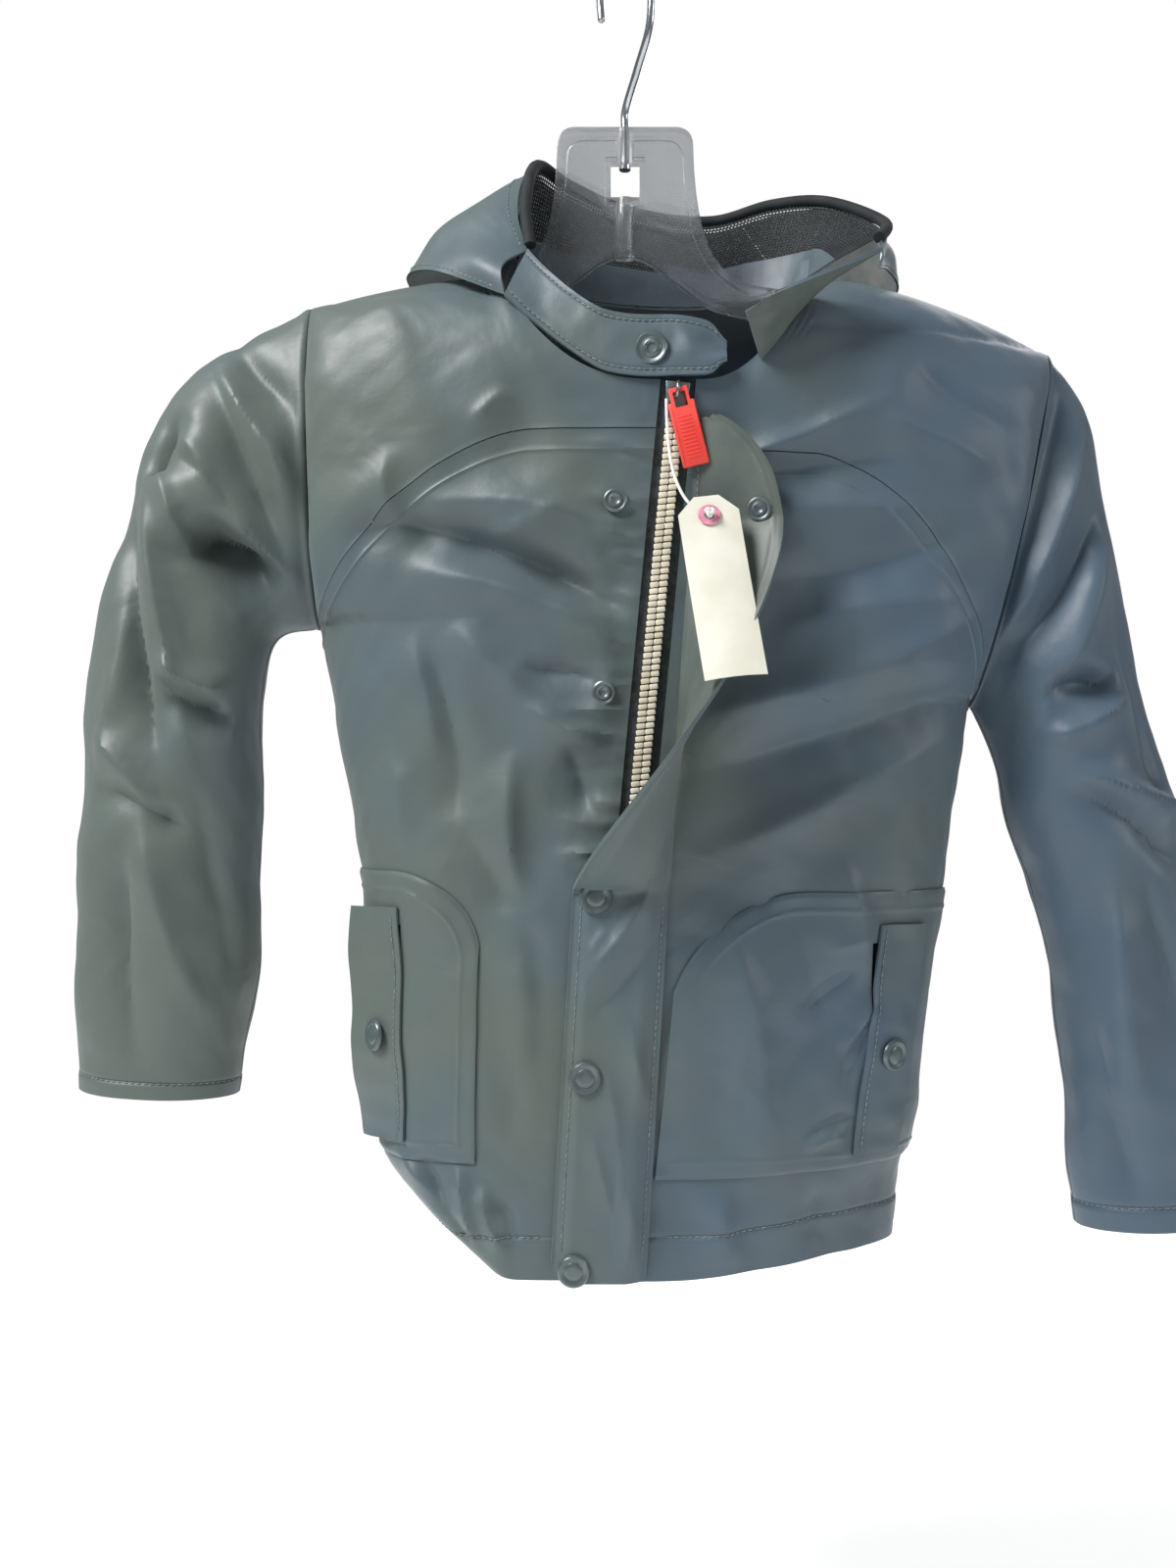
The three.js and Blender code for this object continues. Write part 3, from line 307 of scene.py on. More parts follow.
# Folds of the hanging cloth: each runs from one (x, z) to another, and has a width and a rise.
FOLDS = {
    "right": [
        (-100, -296, -6, -327, 9, -5.5), (-88, -283, -8, -297, 11, 3.2), (-94, -315, -4, -345, 10, 4.0),
        (-126, -294, -86, -300, 9, -3.0), (-80, -346, -40, -366, 9, 2.6), (-45, -356, -12, -367, 6, -2.6),
        (-48, -378, -10, -388, 7, 2.4), (-88, -354, -78, -426, 7, -2.2), (-95, -345, -90, -395, 6, 1.8),
        (-54, -400, -48, -458, 6, 2.0), (-68, -250, -56, -232, 4, 1.8), (-30, -398, -14, -420, 7, -2.0),
        (-39, -474, -29, -520, 8, -2.6), (-50, -486, -44, -545, 8, 2.0), (-101, -582, -76, -622, 5, 3.2),
        (-91, -586, -70, -624, 4, -2.8), (-80, -586, -66, -624, 5, 3.2), (-66, -596, -52, -630, 5, 2.8),
        (-58, -600, -44, -628, 4, -2.0), (-110, -262, -100, -300, 8, 2.4), (-60, -300, -30, -282, 5, 1.5),
        (-112, -400, -100, -440, 9, 1.6), (-70, -430, -60, -470, 9, -1.6),
    ],
    "left": [
        (34, -384, 152, -333, 13, 4.4), (40, -408, 155, -360, 11, -3.6), (36, -436, 150, -396, 12, 3.0),
        (48, -262, 118, -238, 6, 2.8), (52, -276, 126, -258, 7, -2.4), (58, -292, 132, -282, 8, 2.4),
        (60, -318, 150, -300, 10, -2.6), (70, -345, 150, -322, 9, 2.0), (44, -470, 62, -560, 8, 2.0),
        (74, -452, 86, -530, 9, -1.8), (100, -446, 104, -500, 9, 2.2), (40, -600, 52, -634, 6, 1.8),
        (84, -604, 92, -634, 6, -1.6), (108, -250, 168, -262, 9, 2.2), (128, -222, 176, -246, 7, -1.8),
    ],
}


def lerp(a, b, t):
    return a + (b - a) * t


def smooth(x, start, end):
    t = np.clip((x - start) / (end - start), 0, 1)
    return t * t * (3 - 2 * t)


def along_line(start, end, z):
    return lerp(start[0], end[0], (z - start[1]) / (end[1] - start[1]))


def zip_x(z):
    return along_line(ZIP_TOP, ZIP_BOTTOM, z)


def edge_x(side, z):
    high = along_line(side["shoulder"], side["armpit"], z)
    middle = along_line(side["armpit"], side["waist"], z)
    low = along_line(side["waist"], side["hem"], z)
    return np.where(z > side["armpit"][1], high, np.where(z > side["waist"][1], middle, low))


def armhole_y(side, z):
    half = (side["shoulder"][1] - side["armpit"][1]) / 2
    share = (z - side["armpit"][1] - half) / half
    return side["armhole"] * np.sqrt(np.clip(1 - share**2, 0, 1))


def breadth(s):
    return np.sin(np.pi / 2 * np.clip(s, 0, 1)) ** FULLNESS


def depth_share(s):
    return np.cos(np.pi / 2 * np.clip(s, 0, 1)) ** FULLNESS


def to_share(w):
    return 2 / np.pi * np.arcsin(np.clip(w, 0, 1) ** (1 / FULLNESS))


def shoulder_z(side, w):
    share = np.clip((w - side["neck_share"]) / (1 - side["neck_share"]), 0, 1)
    return lerp(NECK_Z, side["shoulder"][1], share**1.5)


def front_top(side, s):
    w = breadth(s)
    neck = lerp(FRONT_NECK_Z, NECK_Z, np.clip(w / side["neck_share"], 0, 1) ** 2.6)
    return np.where(w >= side["neck_share"], shoulder_z(side, w), neck)


def yoke_z(side, s):
    past = np.clip((breadth(s) - 0.35) / 0.65, 0, 1)
    return lerp(side["yoke_low"], side["yoke_high"], (1 - past**1.6) ** 0.8)


def round_off(side, w, z):
    drop = np.clip((shoulder_z(side, w) - z) / SHOULDER_ROLL, 0, 1)
    return np.sqrt(np.clip(1 - (1 - drop) ** 2, 0, 1))


def front_form(side, s, z):
    w, edge_y = breadth(s), armhole_y(side, z)
    y = edge_y + round_off(side, w, z) * (FRONT_DEPTH - edge_y) * depth_share(s)
    x = lerp(zip_x(z) + side["sign"] * ZIP_EXPOSED / 2, edge_x(side, z), w)
    return np.stack([x, -y - SEAM_GAP / 2, z + 0 * x], axis=-1)


def normals_of(form, a, z):
    """The way out of a form of the body at (a, z)."""
    across = form(a + 0.002, z) - form(a - 0.002, z)
    up = form(a, z + 0.2) - form(a, z - 0.2)
    way = np.cross(across, up)
    way /= np.maximum(np.linalg.norm(way, axis=-1, keepdims=True), 1e-9)
    at = form(a, z)
    out = np.sum(way * np.stack([(at[..., 0] - 10) * 0.2, at[..., 1], 1 + 0 * at[..., 2]], axis=-1), axis=-1)
    return at, np.where(out[..., None] < 0, -way, way)


def raised(points, folds):
    """How far folds lift the cloth at points. A fold is steeper on one side, and dies out at its ends."""
    x, z = points[..., 0], points[..., 2]
    height = np.zeros_like(x)
    for x0, z0, x1, z1, width, rise in folds:
        run = math.hypot(x1 - x0, z1 - z0)
        along = ((x - x0) * (x1 - x0) + (z - z0) * (z1 - z0)) / run**2
        off = ((x - x0) * (z1 - z0) - (z - z0) * (x1 - x0)) / run
        off = off + width * 0.5 * np.sin(3 * along + x0)
        ends = smooth(along, -0.15, 0.3) * (1 - smooth(along, 0.7, 1.15))
        height += rise * ends * np.exp(-np.abs(off / np.where(off > 0, width * 1.25, width * 0.75)) ** 1.4)
    return height


def crumple(points, size, height, seed):
    """Small uneven ripples, about `size` apart, that run every way."""
    draw = np.random.RandomState(seed)
    total = np.zeros(points.shape[:-1])
    for _ in range(10):
        heading = draw.normal(size=3)
        turns = points @ (heading / np.linalg.norm(heading)) / (size * draw.uniform(0.6, 1.8))
        total += np.sin(2 * np.pi * (turns + draw.uniform(0, 1)))
    return height * total / 3


def zip_puckers():
    """Short folds that the zip's tape draws into the cloth beside it."""
    draw, z, folds = np.random.RandomState(4), -262.0, []
    while z > -596:
        reach = draw.uniform(12, 34)
        edge = zip_x(z) - ZIP_EXPOSED / 2
        folds.append(
            (edge + 4, z, edge - reach, z + draw.uniform(-2, 9), draw.uniform(2.0, 3.4), draw.uniform(1.0, 2.3))
        )
        z -= draw.uniform(7, 13)
    return folds


def tucked(points):
    """The right corner of the hem curls in under itself, and the left one rides up a little."""
    x, y, z = points[..., 0], points[..., 1], points[..., 2]
    low = smooth(-z, 560, 640)
    risen = z + low * (6 + 10 * smooth(x, 20, 120))
    beyond = np.maximum(((-42 - x) * 63 + (HEM_Z - risen) * 75) / 98, 0)
    room = 9 + 8 * smooth(y, -20, 20)
    kept = room * (1 - np.exp(-beyond / room))
    back = beyond - kept
    flat = 1 - 0.55 * smooth(beyond, 2, 34)
    return np.stack([x + back * 63 / 98, y * flat, risen + back * 75 / 98], axis=-1)


PUCKERS = zip_puckers()


def front_cloth(name, s, z, lift=0.0):
    """A point of a front's outer face as it hangs, `lift` off its surface."""
    side = SIDES[name]
    at, out = normals_of(lambda a, height: front_form(side, a, height), s, z)
    from_zip = np.abs(at[..., 0] - (zip_x(z) + side["sign"] * ZIP_EXPOSED / 2))
    under_flap = smooth(-z, 440, 470) * (1 - smooth(from_zip, 24, 38)) if name == "right" else 0
    held = smooth(1 - s, 0, 0.1) * smooth(from_zip, 0, 16) * smooth(front_top(side, s) - z, 0, 18)
    held = held * (1 - under_flap)
    rise = held * (1.8 * raised(at, FOLDS[name]) + crumple(at, 46, 1.1, 3) + crumple(at, 17, 0.2, 5))
    if name == "right":
        rise = rise + (1 - under_flap) * raised(at, PUCKERS) * smooth(-z, 250, 262)
    rise = rise + lift
    moved = at + out * rise[..., None]
    moved[..., 1] = np.minimum(moved[..., 1], -SEAM_GAP / 2)
    return tucked(moved)


def rows(low, high, near_low, near_high, count):
    """Heights of a sheet's rows: at set distances from its low and high edges, and even in between."""
    from_low = [low + d for d in near_low]
    from_high = [high - d for d in reversed(near_high)]
    start, end = from_low[-1], from_high[0]
    between = [lerp(start, end, (n + 1) / (count + 1)) for n in range(count)]
    return np.stack([*from_low, *between, *from_high])


def cloth(name, points, thickness, core=(10, 0, -400)):
    """A sheet of cloth through a grid of points on its outer face, and the size it was cut to."""
    along, across = points.shape[0] - 1, points.shape[1] - 1
    choose()
    bpy.ops.mesh.primitive_grid_add(x_subdivisions=across, y_subdivisions=along, size=2)
    piece = bpy.context.object
    mesh = piece.data
    flat = np.empty(len(mesh.vertices) * 3)
    mesh.vertices.foreach_get("co", flat)
    flat = flat.reshape(-1, 3)
    column = np.rint((flat[:, 0] + 1) / 2 * across).astype(int)
    row = np.rint((flat[:, 1] + 1) / 2 * along).astype(int)
    mesh.vertices.foreach_set("co", (points[row, column] * MM).ravel())
    east, north = np.diff(points, axis=1), np.diff(points, axis=0)
    width = np.linalg.norm(east, axis=-1).sum(axis=1).max() * MM
    length = np.linalg.norm(north, axis=-1).sum(axis=0).max() * MM
    cells = np.cross(east[:-1], north[:, :-1])
    area = float(np.linalg.norm(cells, axis=-1).sum()) * MM**2
    corner = np.empty(len(mesh.loops), int)
    mesh.loops.foreach_get("vertex_index", corner)
    pattern = np.stack([column[corner] / across * width, row[corner] / along * length], axis=-1)
    mesh.uv_layers[0].data.foreach_set("uv", pattern.ravel())
    if np.sum(cells * (points[:-1, :-1] - core)) < 0:
        mesh.flip_normals()
    mesh.update()
    if thickness:
        shape(piece, "SOLIDIFY", thickness=thickness * MM, offset=-1)
    piece.name = name
    return piece, dict(flat=(width, length), area=min(area, width * length))


def coated_cloth(name, olive, blue, roughness):
    """A satin coating with a fine pebbled skin and random clouds of tone. It also turns from olive at -X, where the
    key light falls, to a bluer, slightly darker tone at +X: painted light and shade.
    """
    material = bpy.data.materials.new(name)
    material.use_nodes = True
    link = material.node_tree.links.new
    surface = material.node_tree.nodes["Principled BSDF"]
    surface.inputs["Specular IOR Level"].default_value = 0.42
    surface.inputs["Sheen Weight"].default_value = 0.12
    surface.inputs["Sheen Roughness"].default_value = 0.5
    surface.inputs["Coat Weight"].default_value = 0.02
    surface.inputs["Coat Roughness"].default_value = 0.32
    place = node(material, "ShaderNodeTexCoord")
    clouds = node(material, "ShaderNodeTexNoise", Scale=9.0, Detail=3.0, Roughness=0.5)
    apart = node(material, "ShaderNodeSeparateXYZ")
    painted_light_shift = node(material, "ShaderNodeMath")
    painted_light_shift.operation = "MULTIPLY_ADD"
    painted_light_shift.inputs[1].default_value = 1.1
    tones = node(material, "ShaderNodeValToRGB")
    tones.color_ramp.elements[0].position, tones.color_ramp.elements[0].color = 0.30, olive
    tones.color_ramp.elements[1].position, tones.color_ramp.elements[1].color = 0.72, blue
    scuffs = node(material, "ShaderNodeTexNoise", Scale=60.0, Detail=5.0, Roughness=0.65)
    spread = node(material, "ShaderNodeMapRange")
    spread.inputs["To Min"].default_value = roughness - 0.07
    spread.inputs["To Max"].default_value = roughness + 0.09
    skin = node(material, "ShaderNodeTexVoronoi", Scale=1700.0)
    ripple = node(material, "ShaderNodeTexNoise", Scale=150.0, Detail=4.0, Roughness=0.6)
    pebble = node(material, "ShaderNodeBump", Strength=0.10, Distance=0.0001)
    soft = node(material, "ShaderNodeBump", Strength=0.35, Distance=0.0006)
    waves = node(material, "ShaderNodeTexNoise", Scale=26.0, Detail=2.0, Roughness=0.45, Distortion=0.9)
    broad = node(material, "ShaderNodeBump", Strength=0.5, Distance=0.003)
    link(waves.outputs["Fac"], broad.inputs["Height"])
    link(broad.outputs["Normal"], soft.inputs["Normal"])
    for texture in (clouds, scuffs, skin, ripple, waves):
        link(place.outputs["Object"], texture.inputs["Vector"])
    link(place.outputs["Object"], apart.inputs["Vector"])
    # Painted light and shade: X moves the tone from olive on the lit -X side to blue on the shaded +X side; the
    # clouds add random tone.
    link(apart.outputs["X"], painted_light_shift.inputs[0])
    link(clouds.outputs["Fac"], painted_light_shift.inputs[2])
    link(painted_light_shift.outputs["Value"], tones.inputs["Fac"])
    link(tones.outputs["Color"], surface.inputs["Base Color"])
    link(scuffs.outputs["Fac"], spread.inputs["Value"])
    link(spread.outputs["Result"], surface.inputs["Roughness"])
    link(ripple.outputs["Fac"], soft.inputs["Height"])
    link(skin.outputs["Distance"], pebble.inputs["Height"])
    link(soft.outputs["Normal"], pebble.inputs["Normal"])
    link(pebble.outputs["Normal"], surface.inputs["Normal"])
    return material


def stitches(name, line, pitch, material, body, length=2.3, radius=0.3):
    """A row of sewn stitches along a line of points: short rounded threads, end to end."""
    steps = np.linalg.norm(np.diff(line, axis=0), axis=-1)
    gone = np.concatenate([[0], np.cumsum(steps)])
    places = np.arange(pitch, gone[-1] - pitch / 2, pitch)
    middle = np.stack([np.interp(places, gone, line[:, k]) for k in range(3)], axis=-1)
    ahead = np.stack([np.interp(places + 0.6, gone, line[:, k]) for k in range(3)], axis=-1)
    course = (ahead - middle) / np.linalg.norm(ahead - middle, axis=-1, keepdims=True)
    aside = np.cross(course, (0.13, -0.97, 0.21))
    aside /= np.linalg.norm(aside, axis=-1, keepdims=True)
    above = np.cross(aside, course)
    sides, corners, faces = 6, [], []
    for a, b, c, d in zip(middle, course, aside, above):
        first = len(corners)
        corners.append(a - b * length / 2)
        for end in (-0.32, 0.32):
            for k in range(sides):
                turn = 2 * math.pi * k / sides
                corners.append(a + b * length * end + radius * (c * math.cos(turn) + d * math.sin(turn)))
        corners.append(a + b * length / 2)
        for k in range(sides):
            n = (k + 1) % sides
            faces.append((first, first + 1 + n, first + 1 + k))
            faces.append((first + 1 + k, first + 1 + n, first + 7 + n, first + 7 + k))
            faces.append((first + 13, first + 7 + k, first + 7 + n))
    mesh = bpy.data.meshes.new(name)
    mesh.from_pydata([tuple(x * MM for x in p) for p in corners], [], faces)
    piece = bpy.data.objects.new(name, mesh)
    bpy.context.collection.objects.link(piece)
    return fit(piece, name, material, "shell_cloth", body)


# The cloth's two tones also carry painted light and shade: olive towards the key light at -X, bluer and a little
# darker away from it.
SHELL = coated_cloth("coated_cloth", shade(87, 98, 93), shade(73, 90, 105), 0.46)
THREAD = finish("sewing_thread", shade(96, 108, 110), shade(128, 140, 141), 0.004, 0.6, 0.0002, 0.00005)


def make_fronts():
    near_zip = to_share(np.linspace(0, 0.2, 21))
    across = np.concatenate([near_zip, np.linspace(near_zip[-1], 1, 86)[1:]])
    weld_rows = [0, 0.5, 1.2, 2.5, 4.5, 6.5, 8, 8.7, 9.2, 9.6, 10, 10.5, 11.2, 12.5, 14]
    hem_rows = [0, 0.6, 1.4, 3, 5, 8, 11, 14, 17, 18.6, 19.4, 20, 20.6, 21.4, 23]
    for name, side in SIDES.items():
        seam = yoke_z(side, across)
        heights = rows(HEM_Z + 0 * seam, seam - SEAM_GAP, hem_rows, weld_rows, 190)
        below = seam - heights
        ridge = 0.55 * np.exp(-(((below - WELD_W) / 0.7) ** 2)) + 0.35 * smooth(below, 3, 0)
        groove = 0.5 * np.exp(-(((heights - HEM_Z - HEM_TURN) / 0.8) ** 2))
        doubled = 0.5 * smooth(HEM_Z + HEM_TURN - heights, -0.5, 1.5)
        shares = np.broadcast_to(across, heights.shape)
        points = front_cloth(name, shares, heights, ridge - groove + doubled)
        panel, cut_size = cloth(f"{name}_front_cloth", points, CLOTH)
        fit(panel, f"{name}_front_cloth", SHELL, "shell_cloth", "jacket", f"{name}_front_panel")
        top = front_top(side, across)
        heights = rows(seam + SEAM_GAP, top, [0, 0.4, 1, 2, 3.2], [0, 0.4, 1.2, 3], 60)
        lip = 0.3 * smooth(heights - seam, 2.4, 0)
        points = front_cloth(name, shares[: len(heights)], heights, lip)
        yoke, cut_size = cloth(f"{name}_yoke_cloth", points, CLOTH)
        fit(yoke, f"{name}_yoke_cloth", SHELL, "shell_cloth", "jacket", f"{name}_front_yoke")
        s = np.linspace(0.06, 0.97, 160)
        stitches(
            f"{name}_hem_stitches", front_cloth(name, s, HEM_Z + HEM_TURN + 0 * s, 0.05), 3.2, THREAD,
            "jacket"
        )


make_fronts()

# ---- back ----
# The back is one wide panel with a yoke over its shoulders, in the same coated cloth, and it hangs from the same
# shoulder seams. Vertical folds fall from the yoke.
BACK_NECK_DIP, BACK_YOKE_H = 7, 110
BACK_FOLDS = [
    (-96, -300, -88, -520, 12, 3.4), (-60, -290, -66, -600, 13, -3.0), (-20, -300, -12, -610, 12, 2.8),
    (30, -290, 24, -600, 14, -2.8), (70, -300, 84, -610, 12, 3.4), (118, -320, 112, -600, 12, -3.0),
    (-130, -230, -60, -330, 10, 3.0), (165, -240, 90, -340, 11, 3.2), (-90, -215, -20, -235, 9, 1.8),
    (50, -236, 130, -222, 9, 1.8), (-100, -590, -60, -630, 6, 2.4), (60, -600, 100, -632, 6, 2.2),
    (-40, -240, 60, -262, 11, -2.2),
]


def back_form(q, z):
    left = q >= 0
    sides = [SIDES["right"], SIDES["left"]]
    w = breadth(np.abs(q))
    edges = [edge_x(side, z) for side in sides]
    edge_y = np.where(left, armhole_y(sides[1], z), armhole_y(sides[0], z))
    rounded = np.where(left, round_off(sides[1], w, z), round_off(sides[0], w, z))
    y = edge_y + rounded * (BACK_DEPTH - edge_y) * depth_share(np.abs(q))
    x = lerp((edges[0] + edges[1]) / 2, np.where(left, edges[1], edges[0]), w)
    return np.stack([x, y + SEAM_GAP / 2, z + 0 * x], axis=-1)


def back_top(q):
    neck = np.where(q >= 0, SIDES["left"]["neck_share"], SIDES["right"]["neck_share"])
    w = breadth(np.abs(q))
    slope = np.where(q >= 0, shoulder_z(SIDES["left"], w), shoulder_z(SIDES["right"], w))
    return np.where(w >= neck, slope, NECK_Z - BACK_NECK_DIP * np.cos(np.pi / 2 * np.clip(w / neck, 0, 1)))


def back_cloth(q, z, lift=0.0):
    """A point of the back's outer face as it hangs."""
    at, out = normals_of(back_form, q, z)
    held = smooth(1 - np.abs(q), 0, 0.08) * smooth(back_top(q) - z, 0, 18)
    rise = held * (1.6 * raised(at, BACK_FOLDS) + crumple(at, 60, 1.2, 8) + crumple(at, 17, 0.2, 5)) + lift
    moved = at + out * rise[..., None]
    moved[..., 1] = np.maximum(moved[..., 1], SEAM_GAP / 2)
    return tucked(moved)


def make_back():
    across = np.linspace(-1, 1, 141)
    seam = NECK_Z - BACK_YOKE_H + 0 * across
    hem_rows = [0, 0.6, 1.4, 3, 8, 14, 18.6, 19.4, 20, 20.6, 21.4, 23]
    heights = rows(HEM_Z + 0 * seam, seam - 0.3, hem_rows, [0, 0.6, 1.4, 3, 6, 8.7, 9.5, 10.3, 12], 130)
    below = seam - heights
    ridge = 0.55 * np.exp(-(((below - WELD_W) / 0.7) ** 2)) + 0.35 * smooth(below, 3, 0)
    groove = 0.5 * np.exp(-(((heights - HEM_Z - HEM_TURN) / 0.8) ** 2))
    shares = np.broadcast_to(across, heights.shape)
    panel, cut_size = cloth("back_cloth", back_cloth(shares, heights, ridge - groove), CLOTH)
    fit(panel, "back_cloth", SHELL, "shell_cloth", "jacket", "back_panel")
    heights = rows(seam + 0.3, back_top(across), [0, 0.6, 1.4, 3], [0, 0.4, 1.2, 3], 66)
    yoke, cut_size = cloth("back_yoke_cloth", back_cloth(shares[: len(heights)], heights), CLOTH)
    fit(yoke, "back_yoke_cloth", SHELL, "shell_cloth", "jacket", "back_yoke")
    q = np.linspace(-0.97, 0.97, 200)
    stitches("back_hem_stitches", back_cloth(q, HEM_Z + HEM_TURN + 0 * q, 0.05), 3.2, THREAD, "jacket")


make_back()

# ---- sleeves ----
# Each sleeve is one tube of the coated cloth, sewn into the armhole and closed by a seam underneath. Its end is
# turned in over a facing and sewn. The cloth breaks into folds from the shoulder to the armpit and at the elbow.
SLEEVES = {
    "right": dict(outer=[(-209, -211), (-229, -245), (-252, -320), (-264, -434), (-266, -500), (-264, -559)],
                  inner=[(-170, -343), (-176, -372), (-176, -410), (-178, -458), (-179, -508), (-188, -562)],
                  depth=[33, 37, 38, 37, 35, 33, 30]),
    "left": dict(outer=[(221, -232), (230, -275), (240, -325), (256, -385), (276, -470), (292, -545), (301, -620)],
                 inner=[(174, -388), (182, -408), (186, -430), (196, -458), (208, -500), (213, -555), (219, -626)],
                 depth=[33, 37, 38, 38, 37, 35, 33, 31]),
}
SLEEVE_END, SLEEVE_SEAM, CUFF_H, SLEEVE_L = 0.995, 0.003, 14, 440
SLEEVE_FOLDS = {
    "right": [
        (-184, -196, -143, -252, 7, -3.0), (-191, -214, -143, -284, 8, 4.0),
        (-200, -216, -157, -306, 7, -3.6),
        (-211, -250, -154, -312, 8, 4.6), (-213, -256, -179, -286, 5, -3.6),
        (-202, -288, -172, -324, 10, -15.0),
        (-224, -262, -192, -312, 9, 3.6), (-228, -264, -209, -238, 6, -5.0),
        (-235, -268, -221, -392, 7, -6.0),
        (-222, -272, -207, -392, 7, 3.6), (-238, -300, -243, -400, 8, 2.6), (-217, -364, -186, -380, 7, -6.0),
        (-216, -352, -188, -366, 7, 4.0), (-250, -392, -214, -424, 8, 3.6), (-246, -408, -208, -436, 7, -4.0),
        (-222, -430, -204, -520, 9, 3.0), (-236, -440, -228, -540, 8, -3.0),
        (-196, -420, -190, -500, 7, -2.2),
    ],
    "left": [
        (190, -214, 168, -272, 8, 3.4), (204, -226, 176, -310, 8, -3.6), (214, -248, 178, -340, 8, 4.0),
        (220, -282, 182, -352, 7, -4.0), (226, -300, 190, -380, 9, 4.0), (196, -372, 226, -356, 7, -6.0),
        (192, -386, 236, -372, 7, 3.6), (232, -330, 250, -420, 8, -4.0), (212, -400, 262, -430, 8, 3.8),
        (208, -416, 266, -448, 7, -4.4), (222, -450, 246, -560, 9, 3.6), (244, -450, 272, -570, 9, -3.8),
        (262, -480, 286, -590, 8, 2.6), (224, -520, 236, -606, 7, -2.4),
    ],
}


def sleeve_form(name):
    side, sleeve = SIDES[name], SLEEVES[name]
    gap = side["sign"] * 2 * SEAM_GAP
    outer = rail(
        [(side["shoulder"][0] + gap, 0, side["shoulder"][1]), *((x, 0, z) for x, z in sleeve["outer"])]
    )
    inner = rail([(side["armpit"][0] + gap, 0, side["armpit"][1]), *((x, 0, z) for x, z in sleeve["inner"])])
    depths = sleeve["depth"]

    def at(u, t, lift):
        turn = 2 * np.pi * u + np.pi
        top, bottom = outer(t), inner(t)
        reach = (top - bottom) / 2
        size = np.linalg.norm(reach, axis=-1, keepdims=True)
        depth = np.interp(t * (len(depths) - 1), range(len(depths)), depths) + lift
        across = reach * (1 + lift[..., None] / size) * np.cos(turn)[..., None]
        forward = np.stack([0 * u, -depth * np.sin(turn), 0 * u], axis=-1)
        return (top + bottom) / 2 + across + forward

    return at


def sleeve_cloth(name, u, t, lift=0.0):
    """A point of a sleeve's outer face as it hangs: u goes round it and t along it."""
    form = sleeve_form(name)
    at = form(u, t, 0 * u)
    held = smooth(t, 0, 0.05) * (0.35 + 0.65 * smooth(0.985 - t, 0, 0.06))
    rise = held * (2.0 * raised(at, SLEEVE_FOLDS[name]) + crumple(at, 60, 1.2, 11) + crumple(at, 17, 0.2, 5))
    return form(u, t, rise + lift)


def line_with(piece, material, faces):
    """Gives the inner face of a sheet a second material."""
    piece.data.materials.append(material)
    for face in piece.data.polygons[faces : 2 * faces]:
        face.material_index = 1


# The sleeves' inner face is painted dark, as painted shade inside the tube; the cloth's own backing is pale, as in
# the hood.
SHADED_SLEEVE_INSIDE = finish("shaded_sleeve_backing", shade(58, 64, 62), shade(72, 78, 76), 0.03, 0.75, 0.0005, 0.0001)
LINER = finish("knitted_lining", shade(76, 86, 88), shade(96, 106, 107), 0.02, 0.72, 0.0006, 0.0002)


def make_sleeves():
    around = np.linspace(SLEEVE_SEAM, 1 - SLEEVE_SEAM, 121)
    cuff_t = SLEEVE_END - 10 / SLEEVE_L
    ends = cuff_t + np.array([-3, -1.4, -0.7, 0, 0.7, 1.4, 3]) / SLEEVE_L
    down = np.concatenate(
        [[0, 0.002, 0.005, 0.01], np.linspace(0.016, ends[0] - 0.005, 190), ends, [0.985, 0.995]]
    )
    u, t = np.meshgrid(around, down)
    groove = 0.5 * np.exp(-(((t - cuff_t) * SLEEVE_L / 0.8) ** 2)) - 0.5 * smooth(t, cuff_t, cuff_t + 0.004)
    welt = 0.9 * smooth(t, 0.0, 0.004) * smooth(t, 0.02, 0.009)
    for name in SIDES:
        points = sleeve_cloth(name, u, t, welt - groove)
        core = points.mean(axis=1, keepdims=True)[:-1]
        sleeve, cut_size = cloth(f"{name}_sleeve_cloth", points, CLOTH, core)
        fit(sleeve, f"{name}_sleeve_cloth", SHELL, "shell_cloth", None, f"{name}_sleeve")
        # The inner face gets the dark painted-shade backing.
        line_with(sleeve, SHADED_SLEEVE_INSIDE, u[:-1, :-1].size)
        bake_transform(sleeve)
        v, w = np.meshgrid(around[::3], np.linspace(SLEEVE_END - CUFF_H / SLEEVE_L, SLEEVE_END, 7))
        points = sleeve_cloth(name, v, w, -CLOTH - 0.5 + 0 * v)
        core = points.mean(axis=1, keepdims=True)[:-1]
        cuff, cut_size = cloth(f"{name}_cuff_lining", points, 0.8, core)
        fit(cuff, f"{name}_cuff_lining", LINER, "liner_cloth", f"{name}_arm", f"{name}_cuff_facing")
        line = sleeve_cloth(name, around, cuff_t + 0 * around, 0.05 + 0 * around)
        stitches(f"{name}_cuff_stitches", line, 3.2, THREAD, f"{name}_arm")


make_sleeves()

